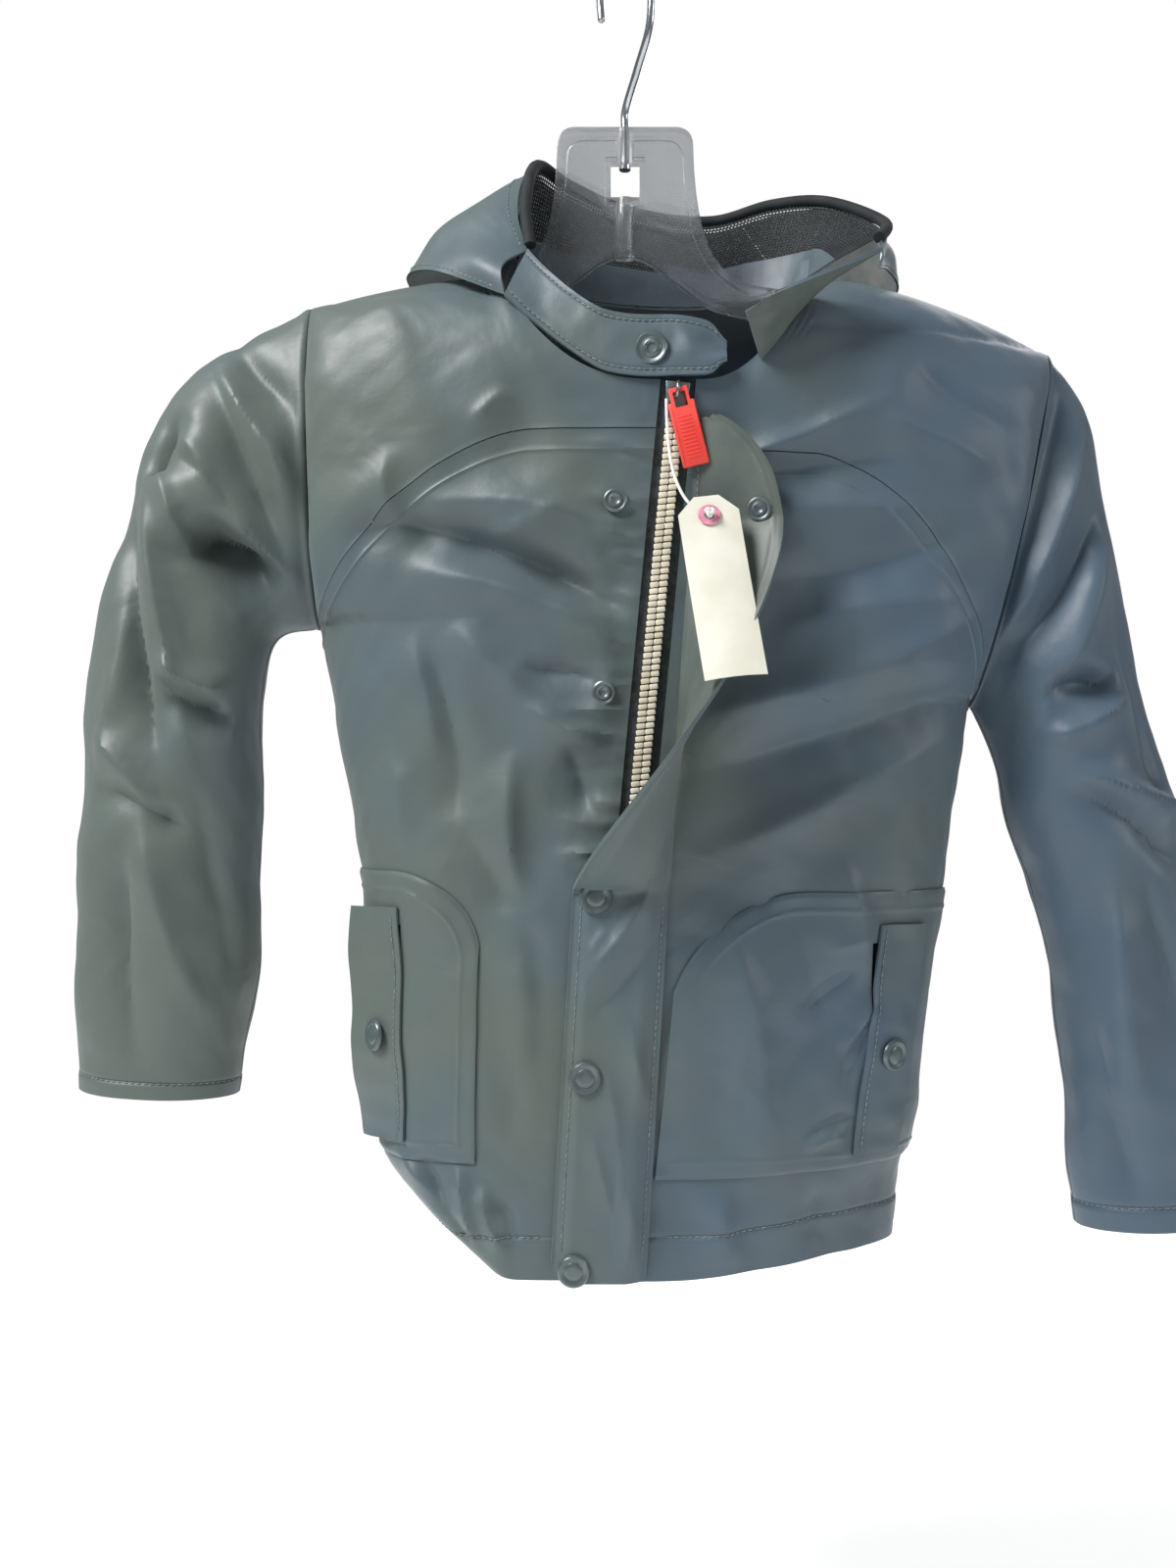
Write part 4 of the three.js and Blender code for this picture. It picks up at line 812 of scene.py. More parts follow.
# ---- pockets ----
# A patch of the coated cloth is welded over each front, over a bag of lining. Its mouth is a slit near the side
# seam, under a narrow upright flap that is sewn along its inner edge and closes with a snap.
POCKETS = {
    "right": dict(inner=0.5, top=-450, bottom=-585, corner=42, flap_share=0.82, curl=9.0),
    "left": dict(inner=0.1, top=-459, bottom=-592, corner=60, flap_share=0.76, curl=1.0),
}
PATCH_LIFT = 1.7
POCKET_FLAP_W, POCKET_FLAP_H = 25, 108
SLIT_W, SLIT_OFFSET = 7, 4
SNAP_CAP = [(0, 0), (7.2, 0), (7.5, 0.5), (7.3, 1.4), (6.6, 2.05), (5.6, 2.1), (4.9, 1.6), (4.2, 1.5), (3.7, 1.9),
            (2.0, 2.0), (0, 2.0)]
STUD = [
    (0, 0), (5.5, 0), (5.4, 0.7), (4.7, 1.1), (3.9, 0.8), (3.5, 0.7), (3.1, 1.4), (2.3, 1.6), (1.7, 1.1),
    (0, 0.9)
]
POCKET_FOLDS = [
    (103, -494, 80, -516, 4, -3.4), (113, -508, 98, -531, 4, 3.0), (112, -518, 96, -544, 4, -3.4),
    (104, -563, 80, -571, 4, -3.0), (98, -573, 80, -577, 4, 2.4), (108, -478, 92, -488, 4, 2.0),
    (54, -446, 37, -484, 5, -2.6), (74, -442, 56, -466, 5, -3.0), (84, -444, 64, -464, 5, 2.6),
    (66, -500, 48, -560, 9, 2.2), (84, -520, 70, -560, 8, -2.0), (130, -442, 125, -464, 4, -2.2),
]
FOLDS["left"] += [(*place, rise * 0.5) for *place, rise in POCKET_FOLDS]
METAL = finish(
    "painted_snap", shade(84, 95, 97), shade(98, 109, 110), 0.006, 0.3, 0.0008, 0.00003, Metallic=0.35
)


def further_round(side, z, share, length):
    """The share across a front that lies `length` further round it."""
    shares = np.linspace(share, 0.999, 400)
    places = front_form(side, shares, z + 0 * shares)
    gone = np.concatenate([[0], np.cumsum(np.linalg.norm(np.diff(places, axis=0), axis=-1))])
    return float(np.interp(length, gone, shares))


def facing_out(name, s, z, lift):
    """A place on a front's cloth and the way out from it."""
    shares, heights = np.array([s, s + 0.01, s]), np.array([z, z, z + 1.5])
    at = front_cloth(name, shares, heights, lift)
    way = np.cross(at[1] - at[0], at[2] - at[0])
    way = way / np.linalg.norm(way)
    return at[0], -way if way[1] > 0 else way


def make_pockets():
    for name, pocket in POCKETS.items():
        side = SIDES[name]
        low, middle = to_share(pocket["inner"]), (pocket["top"] + pocket["bottom"]) / 2 - 4
        u, v = np.meshgrid(np.linspace(0, 1, 116), np.linspace(0, 1, 131))
        s = lerp(low + 1 / 160, 1 - 1 / 120, u)
        top, corner = pocket["top"] - 1, pocket["corner"]
        inner_x = front_form(side, low + 0 * s, top + 0 * s)[..., 0]
        near = np.clip((front_form(side, s, top + 0 * s)[..., 0] - inner_x) * side["sign"], 0, corner)
        fall = corner - np.sqrt(corner**2 - (corner - near) ** 2)
        bottom = pocket["bottom"] + 1
        z = lerp(bottom, top - fall, v)
        from_inner = np.abs(front_form(side, s, z)[..., 0] - front_form(side, low + 0 * s, z)[..., 0])
        arc = corner - np.hypot(np.maximum(corner - from_inner, 0), np.maximum(z - (top - corner), 0))
        edge = np.minimum(np.where(z > top - corner, arc, from_inner), z - bottom)
        edge = np.minimum(edge, top - z)
        ridge = 0.6 * np.exp(-(((edge - 8.5) / 0.8) ** 2)) - 0.8 * smooth(edge, 2.0, 0)
        patch, cut_size = cloth(f"{name}_pocket_cloth", front_cloth(name, s, z, PATCH_LIFT + ridge), CLOTH)
        slit_share = further_round(side, middle, to_share(pocket["flap_share"]), SLIT_OFFSET + SLIT_W / 2)
        slit_at = front_form(side, np.array(slit_share), np.array(float(middle)))
        for piece in (patch, bpy.data.objects[f"{name}_front_cloth"]):
            cut(piece, block((SLIT_W, 16, POCKET_FLAP_H - 16), slit_at))
        fit(patch, f"{name}_pocket_cloth", SHELL, "shell_cloth", "jacket", f"{name}_pocket_patch")
        u, v = np.meshgrid(np.linspace(0, 1, 45), np.linspace(0, 1, 45))
        s = lerp(low + 12 / 160, 1 - 12 / 120, u)
        sunk = np.minimum(1, 5 * np.minimum(u, 1 - u)) * np.minimum(1, 5 * np.minimum(v, 1 - v))
        z = lerp(pocket["bottom"] + 12, pocket["top"] - 12, v)
        bag, cut_size = cloth(
            f"{name}_pocket_lining", front_cloth(name, s, z, -CLOTH - 0.9 - 7.6 * sunk), 0.8
        )
        fit(bag, f"{name}_pocket_lining", LINER, "liner_cloth", "jacket", f"{name}_pocket_bag")
        make_pocket_flap(name, pocket, side, middle)


def make_pocket_flap(name, pocket, side, middle):
    share = to_share(pocket["flap_share"])
    far = further_round(side, middle, share, POCKET_FLAP_W)
    u, v = np.meshgrid(np.linspace(0, 1, 31), np.linspace(0, 1, 111))
    s, z = lerp(share, far, u), middle + (v - 0.5) * POCKET_FLAP_H
    seam = 0.35 * np.exp(-(((u * POCKET_FLAP_W - 3) / 0.7) ** 2))
    ripple = 0.7 * u * (1 - u) * np.sin(z * 0.42) + pocket["curl"] * u**2 * (
        0.6 + 0.4 * np.sin(2.6 * v + 0.4)
    )
    lift = PATCH_LIFT + 0.7 + CLOTH + ripple - seam
    flap, cut_size = cloth(f"{name}_pocket_flap_cloth", front_cloth(name, s, z, lift), CLOTH)
    body = f"{name}_pocket_cover"
    fit(flap, f"{name}_pocket_flap_cloth", SHELL, "flap_cloth", body, f"{name}_pocket_flap")
    line = front_cloth(name, lerp(share, far, 0.12) + 0 * v[:, 0], z[:, 0], float(PATCH_LIFT + 0.8 + CLOTH))
    stitches(f"{name}_pocket_flap_stitches", line[3:-3], 3.0, THREAD, body)
    across, up = 0.5, 0.45
    curl = pocket["curl"] * across**2 * (0.6 + 0.4 * math.sin(2.6 * up + 0.4))
    place, way = facing_out(name, lerp(share, far, across), middle + (up - 0.5) * POCKET_FLAP_H,
                            PATCH_LIFT + 0.9 + CLOTH + curl)
    fit(
        spun(SNAP_CAP, place, way), f"{name}_pocket_snap_cap", METAL, "snap_metal", body,
        f"{name}_pocket_snap"
    )


make_pockets()

# ---- zip ----
# A moulded zip: two dark woven tapes sewn behind the fronts' edges, a row of beige teeth on each that lock
# together, a box at the bottom, a metal slider and a coral plastic pull with fine ridges.
PANEL_FACE = -FRONT_DEPTH - SEAM_GAP / 2
TAPE_W, TAPE_T = 13, 0.8
TAPE_FRONT = PANEL_FACE + CLOTH + 0.4
TEETH_BACK, TEETH_FRONT = TAPE_FRONT - 0.4, TAPE_FRONT - 3.6
ROW_TOP, BOTTOM_BOX_H = -12, 8
TOOTH_PITCH, TOOTH_SLANT = 2.9, 12
ZIP_LENGTH = math.hypot(ZIP_TOP[0] - ZIP_BOTTOM[0], ZIP_TOP[1] - ZIP_BOTTOM[1])
ZIP_LEAN = math.atan2(ZIP_TOP[0] - ZIP_BOTTOM[0], ZIP_TOP[1] - ZIP_BOTTOM[1])
ALONG_ZIP = Matrix.Translation(Vector((ZIP_TOP[0], 0, ZIP_TOP[1])) * MM) @ Matrix.Rotation(ZIP_LEAN, 4, "Y")
SLIDER_W, SLIDER_H, SLIDER_PLATE, SLIDER_Z = 11, 17, 1.4, -9.5
SLIDER_FRONT = TEETH_FRONT - SEAM_GAP - SLIDER_PLATE
BRIDGE_R, BRIDGE_WIRE_R, BRIDGE_Z = 3.6, 0.8, -5
PULL_W, PULL_H, PULL_T, PULL_BAR = 12, 36, 2.4, 2
PULL_HOLE_W, PULL_HOLE_H, PULL_TILT = 5.8, 7, 14


def joined(*pieces):
    choose(*pieces)
    bpy.ops.object.join()
    return bpy.context.object


def repeated(piece, places):
    """One piece's mesh at many places, as one piece."""
    shape_of = piece.data
    corners = np.array([v.co for v in shape_of.vertices])
    faces = [tuple(f.vertices) for f in shape_of.polygons]
    count = len(corners)
    all_corners = np.concatenate([corners + np.array(p) * MM for p in places])
    all_faces = [tuple(i + n * count for i in f) for n in range(len(places)) for f in faces]
    mesh = bpy.data.meshes.new("repeated")
    mesh.from_pydata(all_corners.tolist(), [], all_faces)
    made = bpy.data.objects.new("repeated", mesh)
    bpy.context.collection.objects.link(made)
    bpy.data.objects.remove(piece)
    return made


def make_zip():
    webbing = finish("woven_tape", shade(46, 52, 54), shade(66, 73, 75), 0.003, 0.85, 0.0007, 0.0003)
    beige = finish("moulded_teeth", shade(214, 204, 182), shade(235, 227, 207), 0.01, 0.42, 0.001, 0.00005)
    teeth_y = (TEETH_BACK + TEETH_FRONT) / 2
    row_bottom = -ZIP_LENGTH + BOTTOM_BOX_H + 0.6
    heights = np.arange(ROW_TOP - 1.4, row_bottom + 1, -TOOTH_PITCH)
    for name, side in SIDES.items():
        sign = side["sign"]
        choose()
        bpy.ops.mesh.primitive_grid_add(x_subdivisions=12, y_subdivisions=260, size=1)
        tape = bpy.context.object
        tape.data.transform(
            Matrix.Rotation(math.pi / 2, 4, "X") @ Matrix.Diagonal((TAPE_W * MM, ZIP_LENGTH * MM, 1, 1))
        )
        shape(tape, "SOLIDIFY", thickness=TAPE_T * MM, offset=0)
        for corner in tape.data.vertices:
            x = corner.co.x / MM
            corner.co.y += 0.12 * MM * (1 - abs(((x + 20) % 3.2) / 1.6 - 1))
        tape_x = sign * (SEAM_GAP + TAPE_W / 2)
        tape.data.transform(
            Matrix.Translation(Vector((tape_x, TAPE_FRONT + TAPE_T / 2, -ZIP_LENGTH / 2)) * MM)
        )
        tape.data.transform(ALONG_ZIP)
        fit(tape, f"{name}_tape", webbing, "zip_tape", "jacket", f"{name}_zip_tape")
        tooth = block((3.9, 2.9, 2.3), edge=0.55)
        tooth.data.transform(Matrix.Rotation(-math.radians(TOOTH_SLANT), 4, "Y"))
        slope = math.tan(math.radians(TOOTH_SLANT)) * 2.0
        row = repeated(tooth, [(sign * 2.0, teeth_y, z + sign * slope) for z in heights])
        row.data.transform(ALONG_ZIP)
        fit(row, f"{name}_teeth", beige, "zip_teeth", "jacket", f"{name}_zip_teeth")
    box = block((9, 3.2, BOTTOM_BOX_H), (0, teeth_y, -ZIP_LENGTH + BOTTOM_BOX_H / 2), 0.9)
    box.data.transform(ALONG_ZIP)
    fit(box, "bottom_box", beige, "zip_teeth", "jacket", "zip_bottom_box")


def make_slider():
    back = TAPE_FRONT + TAPE_T + SEAM_GAP + SLIDER_PLATE
    front = block((SLIDER_W, SLIDER_PLATE, SLIDER_H), (0, SLIDER_FRONT + SLIDER_PLATE / 2, SLIDER_Z), 0.5)
    for corner in front.data.vertices:
        low = smooth(-corner.co.z / MM, -SLIDER_Z, SLIDER_H / 2 - SLIDER_Z)
        corner.co.x *= 1 - 0.28 * float(low)
    rear = block((SLIDER_W, SLIDER_PLATE, SLIDER_H), (0, back - SLIDER_PLATE / 2, SLIDER_Z), 0.5)
    wedge = block(
        (0.6, back - SLIDER_FRONT - 1, 4), (0, (back + SLIDER_FRONT) / 2, SLIDER_Z + SLIDER_H / 2 - 2)
    )
    turns = np.linspace(0, 2 * math.pi, 25)[:-1]
    ring = wire([(0, SLIDER_FRONT - 0.4 + BRIDGE_R * math.cos(a), BRIDGE_Z + BRIDGE_R * math.sin(a)) for a in turns],
                BRIDGE_WIRE_R, True)
    cut(ring, block((12, 12, 12), (0, SLIDER_FRONT + SLIDER_PLATE * 0.6 + 6, BRIDGE_Z)))
    slider = joined(front, rear, wedge, ring)
    slider.data.transform(ALONG_ZIP)
    steel = finish(
        "slider_steel", shade(118, 124, 124), shade(150, 156, 155), 0.01, 0.3, 0.001, 0.00004, Metallic=0.9
    )
    fit(slider, "slider_body", steel, "slider_metal", "slider", "zip_slider")


def make_pull():
    tab = block((PULL_W, PULL_T, PULL_H - PULL_BAR - PULL_HOLE_H / 2 - 1), edge=0.8)
    bottom = PULL_BAR / 2 - PULL_H
    height = PULL_H - PULL_BAR - PULL_HOLE_H / 2 - 1
    tab.data.transform(Matrix.Translation(Vector((0, 0, bottom + height / 2)) * MM))
    neck = block((PULL_W - 3.4, PULL_T, PULL_HOLE_H + 4), (0, 0, PULL_BAR / 2 - (PULL_HOLE_H + 4) / 2), 0.5)
    cut(tab, neck, "UNION")
    hole_top = -PULL_BAR / 2
    cut(tab, block((PULL_HOLE_W, 9, PULL_HOLE_H), (0, 0, hole_top - PULL_HOLE_H / 2), 0.6))
    ridges = [block((6.4, 0.5, 0.7), (0, -PULL_T / 2, bottom + 4 + 1.7 * n), 0.2) for n in range(12)]
    rims = [block((0.7, 0.5, 26), (x, -PULL_T / 2, bottom + 14.5), 0.2) for x in (-5.1, 5.1)]
    pull = joined(tab, *ridges, *rims)
    at = (ZIP_TOP[0] + BRIDGE_Z * math.sin(ZIP_LEAN), SLIDER_FRONT - 0.4 - PULL_T / 2,
          ZIP_TOP[1] + BRIDGE_Z * math.cos(ZIP_LEAN))
    pull.data.transform(
        Matrix.Translation(Vector(at) * MM) @ Matrix.Rotation(-math.radians(PULL_TILT), 4, "Y")
    )
    coral = finish("coral_plastic", shade(232, 70, 62), shade(246, 86, 76), 0.02, 0.38, 0.0012, 0.00005)
    fit(pull, "pull_tab", coral, "pull_plastic", "pull", "zip_pull", angle=30)


make_zip()
make_slider()
make_pull()

# ---- storm flap ----
# Two layers of coated cloth, sewn beside the zip and folded over it, and closed with three of its snaps. Above
# them it is unsnapped: it twists over and lies folded back on the left front, with its olive inside out.
FLAP_W, FLAP_LIFT, FLAP_OPEN, DOUBLE_CLOTH = 43, 4.2, 165, 1.8
FLAP_TOP, FLAP_BOTTOM = (31, -247), (8, -634)
FLAP_AXIS_Y = PANEL_FACE - 0.4 - DOUBLE_CLOTH / 2
TWIST_LOW_Z, TWIST_HIGH_Z = -453, -312
FIRST_SNAP_Z, SNAP_PITCH, SNAP_INSET, STUD_COUNT = -628, 86, 8.5, 5
FLAP_FOLDS = [
    (-22, -500, 12, -452, 6, 4.6), (-16, -516, 14, -474, 5, -2.2), (4, -520, 10, -560, 5, 2.6),
    (-12, -540, -2, -600, 6, 2.2), (8, -566, 4, -626, 4, 2.2), (-4, -566, -6, -618, 4, -1.2),
    (-20, -486, -8, -478, 4, 1.8), (0, -596, 4, -632, 4, 1.6), (-14, -566, -8, -612, 4, 1.4),
]


def flap_x(z):
    return along_line(FLAP_TOP, FLAP_BOTTOM, z)


def flap_reach(z):
    """The flap's width, which runs out round its top corner."""
    return FLAP_W * (1 - (0.97 * np.clip((z + 318) / 71, 0, 1)) ** 2.4) ** 0.55


def flap_open(z):
    return FLAP_OPEN * np.clip((z + 459) / 166, 0, 1) ** 0.68


def flap_cloth(z, across, depth=0.0):
    """A point of the flap: `across` runs from its seam to its free edge."""
    z, across = np.broadcast_arrays(np.asarray(z, float), np.asarray(across, float))
    opened = flap_open(z)
    flat_share = 1 - opened / FLAP_OPEN
    lift = FLAP_LIFT * flat_share * smooth(across, 0, 0.25) * (1 - smooth(across, 0.8, 1))
    lift = lift + 2.0 * (1 - flat_share) * np.sin(np.pi * across) * np.sin(z * 0.055)
    x = -across * flap_reach(z)
    y = depth - DOUBLE_CLOTH / 2 - lift
    turn = np.radians(opened)
    at = np.stack([flap_x(z) + x * np.cos(turn) - y * np.sin(turn),
                   FLAP_AXIS_Y + x * np.sin(turn) + y * np.cos(turn), z], axis=-1)
    free = smooth(across, 0.02, 0.2) * (1 - smooth(across, 0.86, 1))
    bent = raised(at, FLAP_FOLDS) * free * smooth(-z, 440, 470)
    wavy = 0.7 * np.sin(z * 0.21 + 3 * across) * smooth(across, 0.75, 1) * smooth(opened, 5, 60)
    at[..., 1] -= bent + wavy
    return at


def make_flap():
    down = np.concatenate([[-634, -633.4, -632.4, -630.8], np.linspace(-629, FLAP_TOP[1], 250)])
    rounded = 1 - 0.16 * np.clip((-624 - down) / 10, 0, 1) ** 2
    u, z = np.meshgrid(np.linspace(0, 1, 57), down)
    u = u * rounded[:, None]
    from_edge = (1 - u) * flap_reach(z)
    groove = 0.4 * np.exp(-(((from_edge - 4) / 0.7) ** 2)) + 0.3 * np.exp(-(((u * FLAP_W - 2.5) / 0.7) ** 2))
    bead = 0.45 * smooth(from_edge, 1.6, 0)
    points = flap_cloth(z, u, groove - bead)
    flap, cut_size = cloth("storm_flap", points, DOUBLE_CLOTH, flap_cloth(z, u, groove - bead + 1)[:-1, :-1])
    fit(
        flap, "storm_flap", SHELL, "flap_cloth", None, "storm_flap_lower", "storm_flap_twist",
        "storm_flap_upper"
    )
    line_with(flap, OLIVE, u[:-1, :-1].size)
    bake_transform(flap)
    for label, low, high, body in (("lower", -622, -462, "lower_flap"), ("upper", -330, -262, "upper_flap")):
        z = np.linspace(low, high, 200)
        edge = 1 - 4 / flap_reach(z)
        inner = 2.5 / FLAP_W + 0 * z
        side_of = -0.05 if label == "lower" else DOUBLE_CLOTH + 0.05
        stitches(f"{label}_flap_edge_stitches", flap_cloth(z, edge, side_of), 3.0, THREAD, body)
        stitches(f"{label}_flap_seam_stitches", flap_cloth(z, inner, side_of), 3.0, THREAD, body)
    across = (FLAP_W - SNAP_INSET) / FLAP_W - 0.04
    for n, z in enumerate((FIRST_SNAP_Z, FIRST_SNAP_Z + SNAP_PITCH, TWIST_LOW_Z - 8.5)):
        at = flap_cloth(z, across) + np.array([0, -0.1, 0])
        fit(spun(SNAP_CAP, at, (0, -1, 0)), f"flap_snap_cap_{n + 1}", METAL, "snap_metal", "lower_flap",
            f"flap_snap_{n + 1}")
    turn = math.radians(FLAP_OPEN)
    inward = (-math.sin(turn), math.cos(turn), 0)
    at = flap_cloth(-289.0, 0.76, DOUBLE_CLOTH + 0.1)
    fit(spun(STUD, at, inward), "flap_socket_ring", METAL, "snap_metal", "upper_flap", "flap_socket")


OLIVE = finish("olive_backing", shade(74, 84, 80), shade(92, 101, 95), 0.03, 0.5, 0.0006, 0.0001)
make_flap()

# ---- studs and vent eyelets ----
# Five pressed studs in a row down the right front, which the storm flap's snaps close on, and two metal eyelets
# under each arm, which let air through the back.
EYELET = [(2.2, 0), (4.5, 0), (4.4, 0.5), (3.8, 1.0), (2.9, 1.0), (2.3, 0.6), (2.2, 0)]


def make_studs():
    side = SIDES["right"]
    for n in range(STUD_COUNT):
        z = FIRST_SNAP_Z + n * SNAP_PITCH
        start = zip_x(z) - ZIP_EXPOSED / 2
        x = flap_x(z) - FLAP_W + SNAP_INSET
        share = float(to_share((x - start) / (edge_x(side, z) - start)))
        place, way = facing_out("right", share, z, 0.15)
        fit(
            spun(STUD, place, way), f"front_stud_ring_{n + 1}", METAL, "snap_metal", "jacket",
            f"front_stud_{n + 1}"
        )


def make_eyelets():
    brass = finish(
        "eyelet_metal", shade(96, 104, 104), shade(128, 136, 134), 0.004, 0.3, 0.0008, 0.00003, Metallic=0.8
    )
    for name, side in SIDES.items():
        for n in range(2):
            z, q = side["armpit"][1] - 20 - 22.0 * n, side["sign"] * 0.88
            at = back_cloth(np.array([q, q + 0.01, q]), np.array([z, z, z + 1.5]), 0.15)
            way = np.cross(at[1] - at[0], at[2] - at[0])
            way = way / np.linalg.norm(way) * (-1 if way[1] < 0 else 1)
            fit(spun(EYELET, at[0], way), f"{name}_vent_ring_{n + 1}", brass, "snap_metal", "jacket",
                f"{name}_vent_eyelet_{n + 1}")


make_studs()
make_eyelets()

# ---- collar ----
# A stand-up collar of two layers, sewn round the neck. Its right end reaches over the zip and carries a snap, and
# its other side runs into the hood's front edge. Its left end has fallen open. Stitches run along its edges.
HOOD_SKIRT = [(-56, -50, -188), (-93, -22, -168), (-107, 8, -164), (-90, 42, -178), (-40, 61, -196), (15, 66, -200),
              (72, 61, -198), (118, 42, -184), (134, 8, -170), (124, -22, -168), (116, -44, -174)]
HOOD_RIM = [(-46, -33, -162), (-50, -22, -140), (-45, 2, -112), (-30, 26, -113), (-8, 36, -120), (20, 40, -126),
            (48, 40, -127), (76, 30, -122), (101, 10, -127), (124, -14, -146), (118, -32, -158)]
COLLAR_H, COLLAR_TAB_X, COLLAR_STAND, COLLAR_SEWN = 28, 44, 4.5, 3
LEFT_COLLAR_TOP = [(51, -76, -203), (70, -76, -192), (96, -68, -179), (115, -55, -168)]


def right_collar(u, v):
    side, turn = SIDES["right"], 0.62
    s = to_share(side["neck_share"]) * 0.6 * np.maximum(0, 1 - u / turn)
    at, out = normals_of(lambda a, height: front_form(side, a, height), s, front_top(side, s) - 0.2)
    at = at + out * 0.4
    past = np.maximum(0, (u - turn) / (1 - turn))
    x = lerp(at[..., 0], COLLAR_TAB_X, past)
    y = at[..., 1] - COLLAR_STAND * smooth(u, turn * 0.6, 1) - 1.5 + v * 3
    z = at[..., 2] + 1.2 + v * COLLAR_H * (1 - 0.25 * past**2)
    creased = smooth(u, 0.68, 0.8)
    y = y + creased * 1.6 * np.sin(11 * u + 5 * v) * np.sin(np.pi * v)
    rounding = 9 * smooth(u, 0.86, 1) ** 2
    z = z + rounding * (0.5 - v) * 1.2
    at = np.stack([x, y, z], axis=-1)
    hood_edge = lerp(np.array(HOOD_SKIRT[0]) + (0, -2, 0), np.array(HOOD_RIM[0]) + (0, -2, 0), v[..., None])
    return lerp(at, hood_edge, (1 - smooth(u, 0, 0.4))[..., None])


def left_collar(u, v):
    side = SIDES["left"]
    sewn = []
    for share in (0.45, 0.6, 0.73, 0.84):
        s = to_share(side["neck_share"]) * share
        at, out = normals_of(
            lambda a, height: front_form(side, a, height), s, front_top(side, s) - COLLAR_SEWN
        )
        sewn.append(at + out * 0.8)
    low, high = rail(sewn)(u), rail(LEFT_COLLAR_TOP)(u)
    at = lerp(low, high, v[..., None])
    at[..., 1] -= 2.2 * np.sin(np.pi * v) * (1 + np.sin(9 * u))
    return at


def make_collar():
    u, v = np.meshgrid(np.linspace(0, 1, 121), np.linspace(0, 1, 41))
    edge = np.minimum(v, 1 - v) * COLLAR_H
    seam = 0.35 * np.exp(-(((edge - 3) / 0.7) ** 2))
    points = right_collar(u, v)
    points[..., 1] += seam - 0.4 * crumple(points, 18, 1.0, 21) * np.sin(np.pi * v)
    collar, cut_size = cloth("right_collar_cloth", points, DOUBLE_CLOTH)
    fit(collar, "right_collar_cloth", SHELL, "shell_cloth", "jacket", "right_collar")
    w = np.linspace(0.02, 0.97, 200)
    for label, height in (("top", 0.9), ("low", 0.1)):
        line = right_collar(w, height + 0 * w) - np.array([0, 0.15, 0])
        stitches(f"right_collar_{label}_stitches", line, 3.0, THREAD, "jacket")
    place = right_collar(np.array([0.6]), np.array([0.45]))[0] - np.array([0, 0.3, 0])
    ring = [(0, 0), (7.5, 0), (7.4, 0.8), (6.8, 1.3), (6.0, 1.0), (5.4, 0.7), (4.6, 0.8), (4.0, 1.6), (3.0, 1.9),
            (2.2, 1.5), (1.8, 0.7), (0, 0.6)]
    fit(
        spun(ring, place, (-0.25, -1, 0.05)), "collar_snap_ring", METAL, "snap_metal", "jacket", "collar_snap"
    )
    u, v = np.meshgrid(np.linspace(0, 1, 71), np.linspace(0, 1, 37))
    points = left_collar(u, v)
    points[..., 1] -= 0.8 * crumple(points, 20, 1.0, 22) * np.sin(np.pi * v)
    collar, cut_size = cloth("left_collar_cloth", points, DOUBLE_CLOTH)
    fit(collar, "left_collar_cloth", SHELL, "shell_cloth", "jacket", "left_collar")
    line_with(collar, OLIVE, u[:-1, :-1].size)
    line = left_collar(w, 0.9 + 0 * w) - np.array([0, 0.15, 0])
    stitches("left_collar_stitches", line, 3.0, THREAD, "jacket")


make_collar()

# ---- hood ----
# Three panels of coated cloth, sewn to the neck and slumped behind it. Inside are a smooth facing at the neck and
# a black net above it, with the cloth's pale knitted backing showing through; a black binding edges the net.
HOOD_SEAMS, HOOD_SWELL, NECK_TURN = (0.36, 0.64), 7, 0.2
HOOD_START = {"right": 0.74, "left": 0.94}
LINING_INSET, FACING_TOP = 2.4, 0.4
NET_PITCH = 2.3


def hood_shell(t, v):
    at = lerp(rail(HOOD_SKIRT)(t), rail(HOOD_RIM)(t), v[..., None] * 0.97)
    out = at - np.array([15, 5, 0])
    out[..., 2] = 25
    out /= np.linalg.norm(out, axis=-1, keepdims=True)
    swell = HOOD_SWELL * np.sin(np.pi * v) * (1 - smooth(t, 0.78, 0.95))
    pleats = 1.8 * np.sin(np.pi * v) * np.sin(38 * t + 3 * v) + crumple(at, 34, 1.1, 31) * np.sin(np.pi * v)
    return at + out * (swell + pleats)[..., None]


def neckline(t):
    """The neck's edge, from its right front round the back to its left front."""
    places = []
    for name, share in (("right", t / NECK_TURN), ("left", (1 - t) / NECK_TURN)):
        side = SIDES[name]
        s = to_share(side["neck_share"]) * lerp(HOOD_START[name], 1, np.clip(share, 0, 1))
        places.append(front_form(side, s, front_top(side, s)))
    low, high = -to_share(SIDES["right"]["neck_share"]), to_share(SIDES["left"]["neck_share"])
    q = lerp(low, high, np.clip((t - NECK_TURN) / (1 - 2 * NECK_TURN), 0, 1))
    behind = back_form(q, back_top(q))
    return np.where(
        (t < NECK_TURN)[..., None], places[0], np.where((t > 1 - NECK_TURN)[..., None], places[1], behind)
    )


def hood_lining(u, v, low, high):
    share, t = lerp(low, high, v), lerp(0.08, 0.96, u)
    at = lerp(neckline(t) + np.array([0, 0, 0.4]), rail(HOOD_RIM)(t), share[..., None])
    inwards = np.array([20, 5, 0]) - at
    inwards[..., 2] = 0
    inwards /= np.linalg.norm(inwards, axis=-1, keepdims=True)
    soft = 1.5 * np.sin(np.pi * np.clip(share / 0.9, 0, 1)) * np.sin(30 * t)
    return at + inwards * (LINING_INSET * smooth(share, 0, 0.4) + np.maximum(soft, 0))[..., None]


